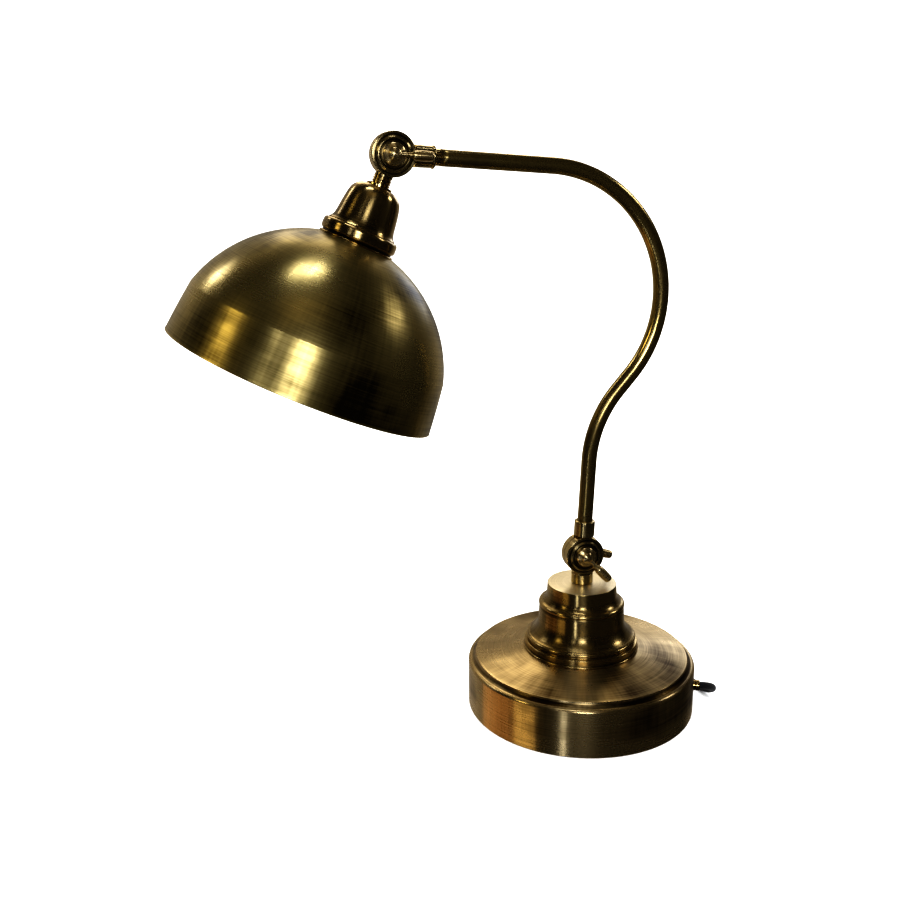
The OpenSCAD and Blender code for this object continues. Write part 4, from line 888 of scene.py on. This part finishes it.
# Pressed wool felt: matt, dark green, with a fibrous surface.
felt = plain_finish("pressed_felt", "24332A", "18241D", scale=900.0, metallic=0.0, rough=0.95,
                    bump=0.8, distance=0.0005, Sheen_Weight=0.4)
# Vulcanised fibre: dark red, dry and slightly mottled.
fibre = plain_finish("vulcanised_fibre", "6E3526", "4E2117", scale=500.0, metallic=0.0,
                     rough=0.6)
# Moulded phenolic plastic, near black, with a fine spark-eroded grain.
black_plastic = plain_finish("moulded_black_plastic", "18181A", "0F0F10", scale=1600.0,
                             metallic=0.0, rough=0.42, bump=0.35, distance=0.00012)
dress(iron, "base_weight")
dress(felt, "felt_pad")
dress(zinc, "bottom_plate", "bottom_screws", "centre_nut", "centre_washer", "gland_nut",
      "stem_nut")
dress(drawn_brass, "centre_tube")
dress(porcelain, "terminal_block")
dress(fibre, "lower_friction_washer", "upper_friction_washer")
dress(black_plastic, "arm_cable")


# ---- Switch, plug and tie ------------------------------------------------------------------
# Moulded in black phenolic plastic: a two-shell inline switch with a rocker, and a flat plug
# with two nickel-plated pins. A soft black band ties the coil.

dress(black_plastic, "switch_base", "switch_cover", "switch_rocker", "plug_body", "coil_tie")
dress(nickel, "plug_pins")


# ---- Studio --------------------------------------------------------------------------------
# A pale floor and plain soft boxes all round: overhead, four in front, three on the left with
# the low ones warm, three at the back and one on the right. The brass shows them as light
# bands between dark ones.

floor_reach = 12
floor_mesh = bpy.data.meshes.new("floor")
floor_mesh.from_pydata([(x * floor_reach, y * floor_reach, 0)
                        for x, y in ((-1, -1), (1, -1), (1, 1), (-1, 1))], [], [(0, 1, 2, 3)])
floor = bpy.data.objects.new("floor", floor_mesh)
scene.collection.objects.link(floor)
floor_mesh.materials.append(plain_finish("painted_floor", "F4F4F2", "F1F1EF", scale=3.0,
                                         metallic=0.0, rough=0.8, bump=0.0))
floor.visible_glossy = False
floor.visible_shadow = False

lamp_middle = Vector((-0.1, 0, 0.25))


def soft_box(name, azimuth, elevation, distance, width, height, power, colour):
    """A soft light seen from the lamp at an azimuth from +Y to +X, and facing it."""
    a, e = math.radians(azimuth), math.radians(elevation)
    out = Vector((math.sin(a) * math.cos(e), math.cos(a) * math.cos(e), math.sin(e)))
    light = bpy.data.lights.new(name, "AREA")
    light.shape = "RECTANGLE"
    light.size, light.size_y = width, height
    light.energy = power
    light.color = linear(colour)[:3]
    box = bpy.data.objects.new(name, light)
    box.matrix_world = (Matrix.Translation(lamp_middle + out * distance)
                        @ out.to_track_quat("Z", "Y").to_matrix().to_4x4())
    scene.collection.objects.link(box)


# Azimuth and elevation in degrees; distance, width and height in metres; power in watts.
soft_box("overhead_box", 0, 88, 1.6, 0.5, 0.2, 2.7, "E8EEFF")
soft_box("front_high_box", -172, 56, 2.0, 1.2, 0.8, 0.7, "FFEFC8")
soft_box("front_box", -167, 14, 2.0, 0.5, 0.6, 8, "E8EEFF")
soft_box("front_left_box", -144, 22, 2.0, 0.26, 0.3, 0.9, "E8EEFF")
soft_box("front_strip", -148, -22, 2.0, 0.12, 1.0, 1.5, "DCE6FF")
soft_box("left_low_box", -70, -34, 2.0, 1.4, 0.6, 1.4, "FFCC98")
soft_box("left_low_pale_box", -106, -34, 2.0, 0.7, 0.6, 1.4, "FFE6B4")
soft_box("left_box", -101, 27, 2.0, 0.4, 0.5, 2.4, "FFF2C0")
soft_box("back_left_box", -44, 37, 2.0, 0.3, 0.35, 1.6, "F2F4FF")
soft_box("back_box", 12, 39, 2.0, 1.2, 0.8, 5.2, "FFF8EC")
soft_box("back_right_box", 37, 17, 2.0, 0.6, 0.5, 1.8, "DCE6FF")
soft_box("right_box", 88, 33, 2.0, 0.4, 0.4, 3.6, "F2F4FF")

# The room is white for the eye and for matt surfaces. Polished metal sees a dark room with a
# pale wall behind the lamp, as it would on a lit table in a photographer's studio.
world = bpy.data.worlds.new("studio")
scene.world = world
world.use_nodes = True
tree = world.node_tree
rays = add(tree, "ShaderNodeLightPath")
walls = tree.nodes["Background"]
walls.inputs["Color"].default_value = linear("FFFFFF")
walls.inputs["Strength"].default_value = 1.4
direction = add(tree, "ShaderNodeTexCoord").outputs["Generated"]
toward = add(tree, "ShaderNodeSeparateXYZ", {0: direction})
behind = add(tree, "ShaderNodeMapRange", {
    "Value": toward.outputs[1], "From Min": 0.3, "From Max": 0.8, "To Min": 0.008, "To Max": 0.3})
dim = add(tree, "ShaderNodeBackground", {"Color": linear("FFF6EA"),
                                         "Strength": behind.outputs[0]})
pick = add(tree, "ShaderNodeMixShader", {
    0: rays.outputs["Is Glossy Ray"], 1: walls.outputs[0], 2: dim.outputs[0]})
tree.links.new(pick.outputs[0], tree.nodes["World Output"].inputs["Surface"])
scene.view_settings.view_transform = "Standard"
scene.view_settings.look = "Very High Contrast"
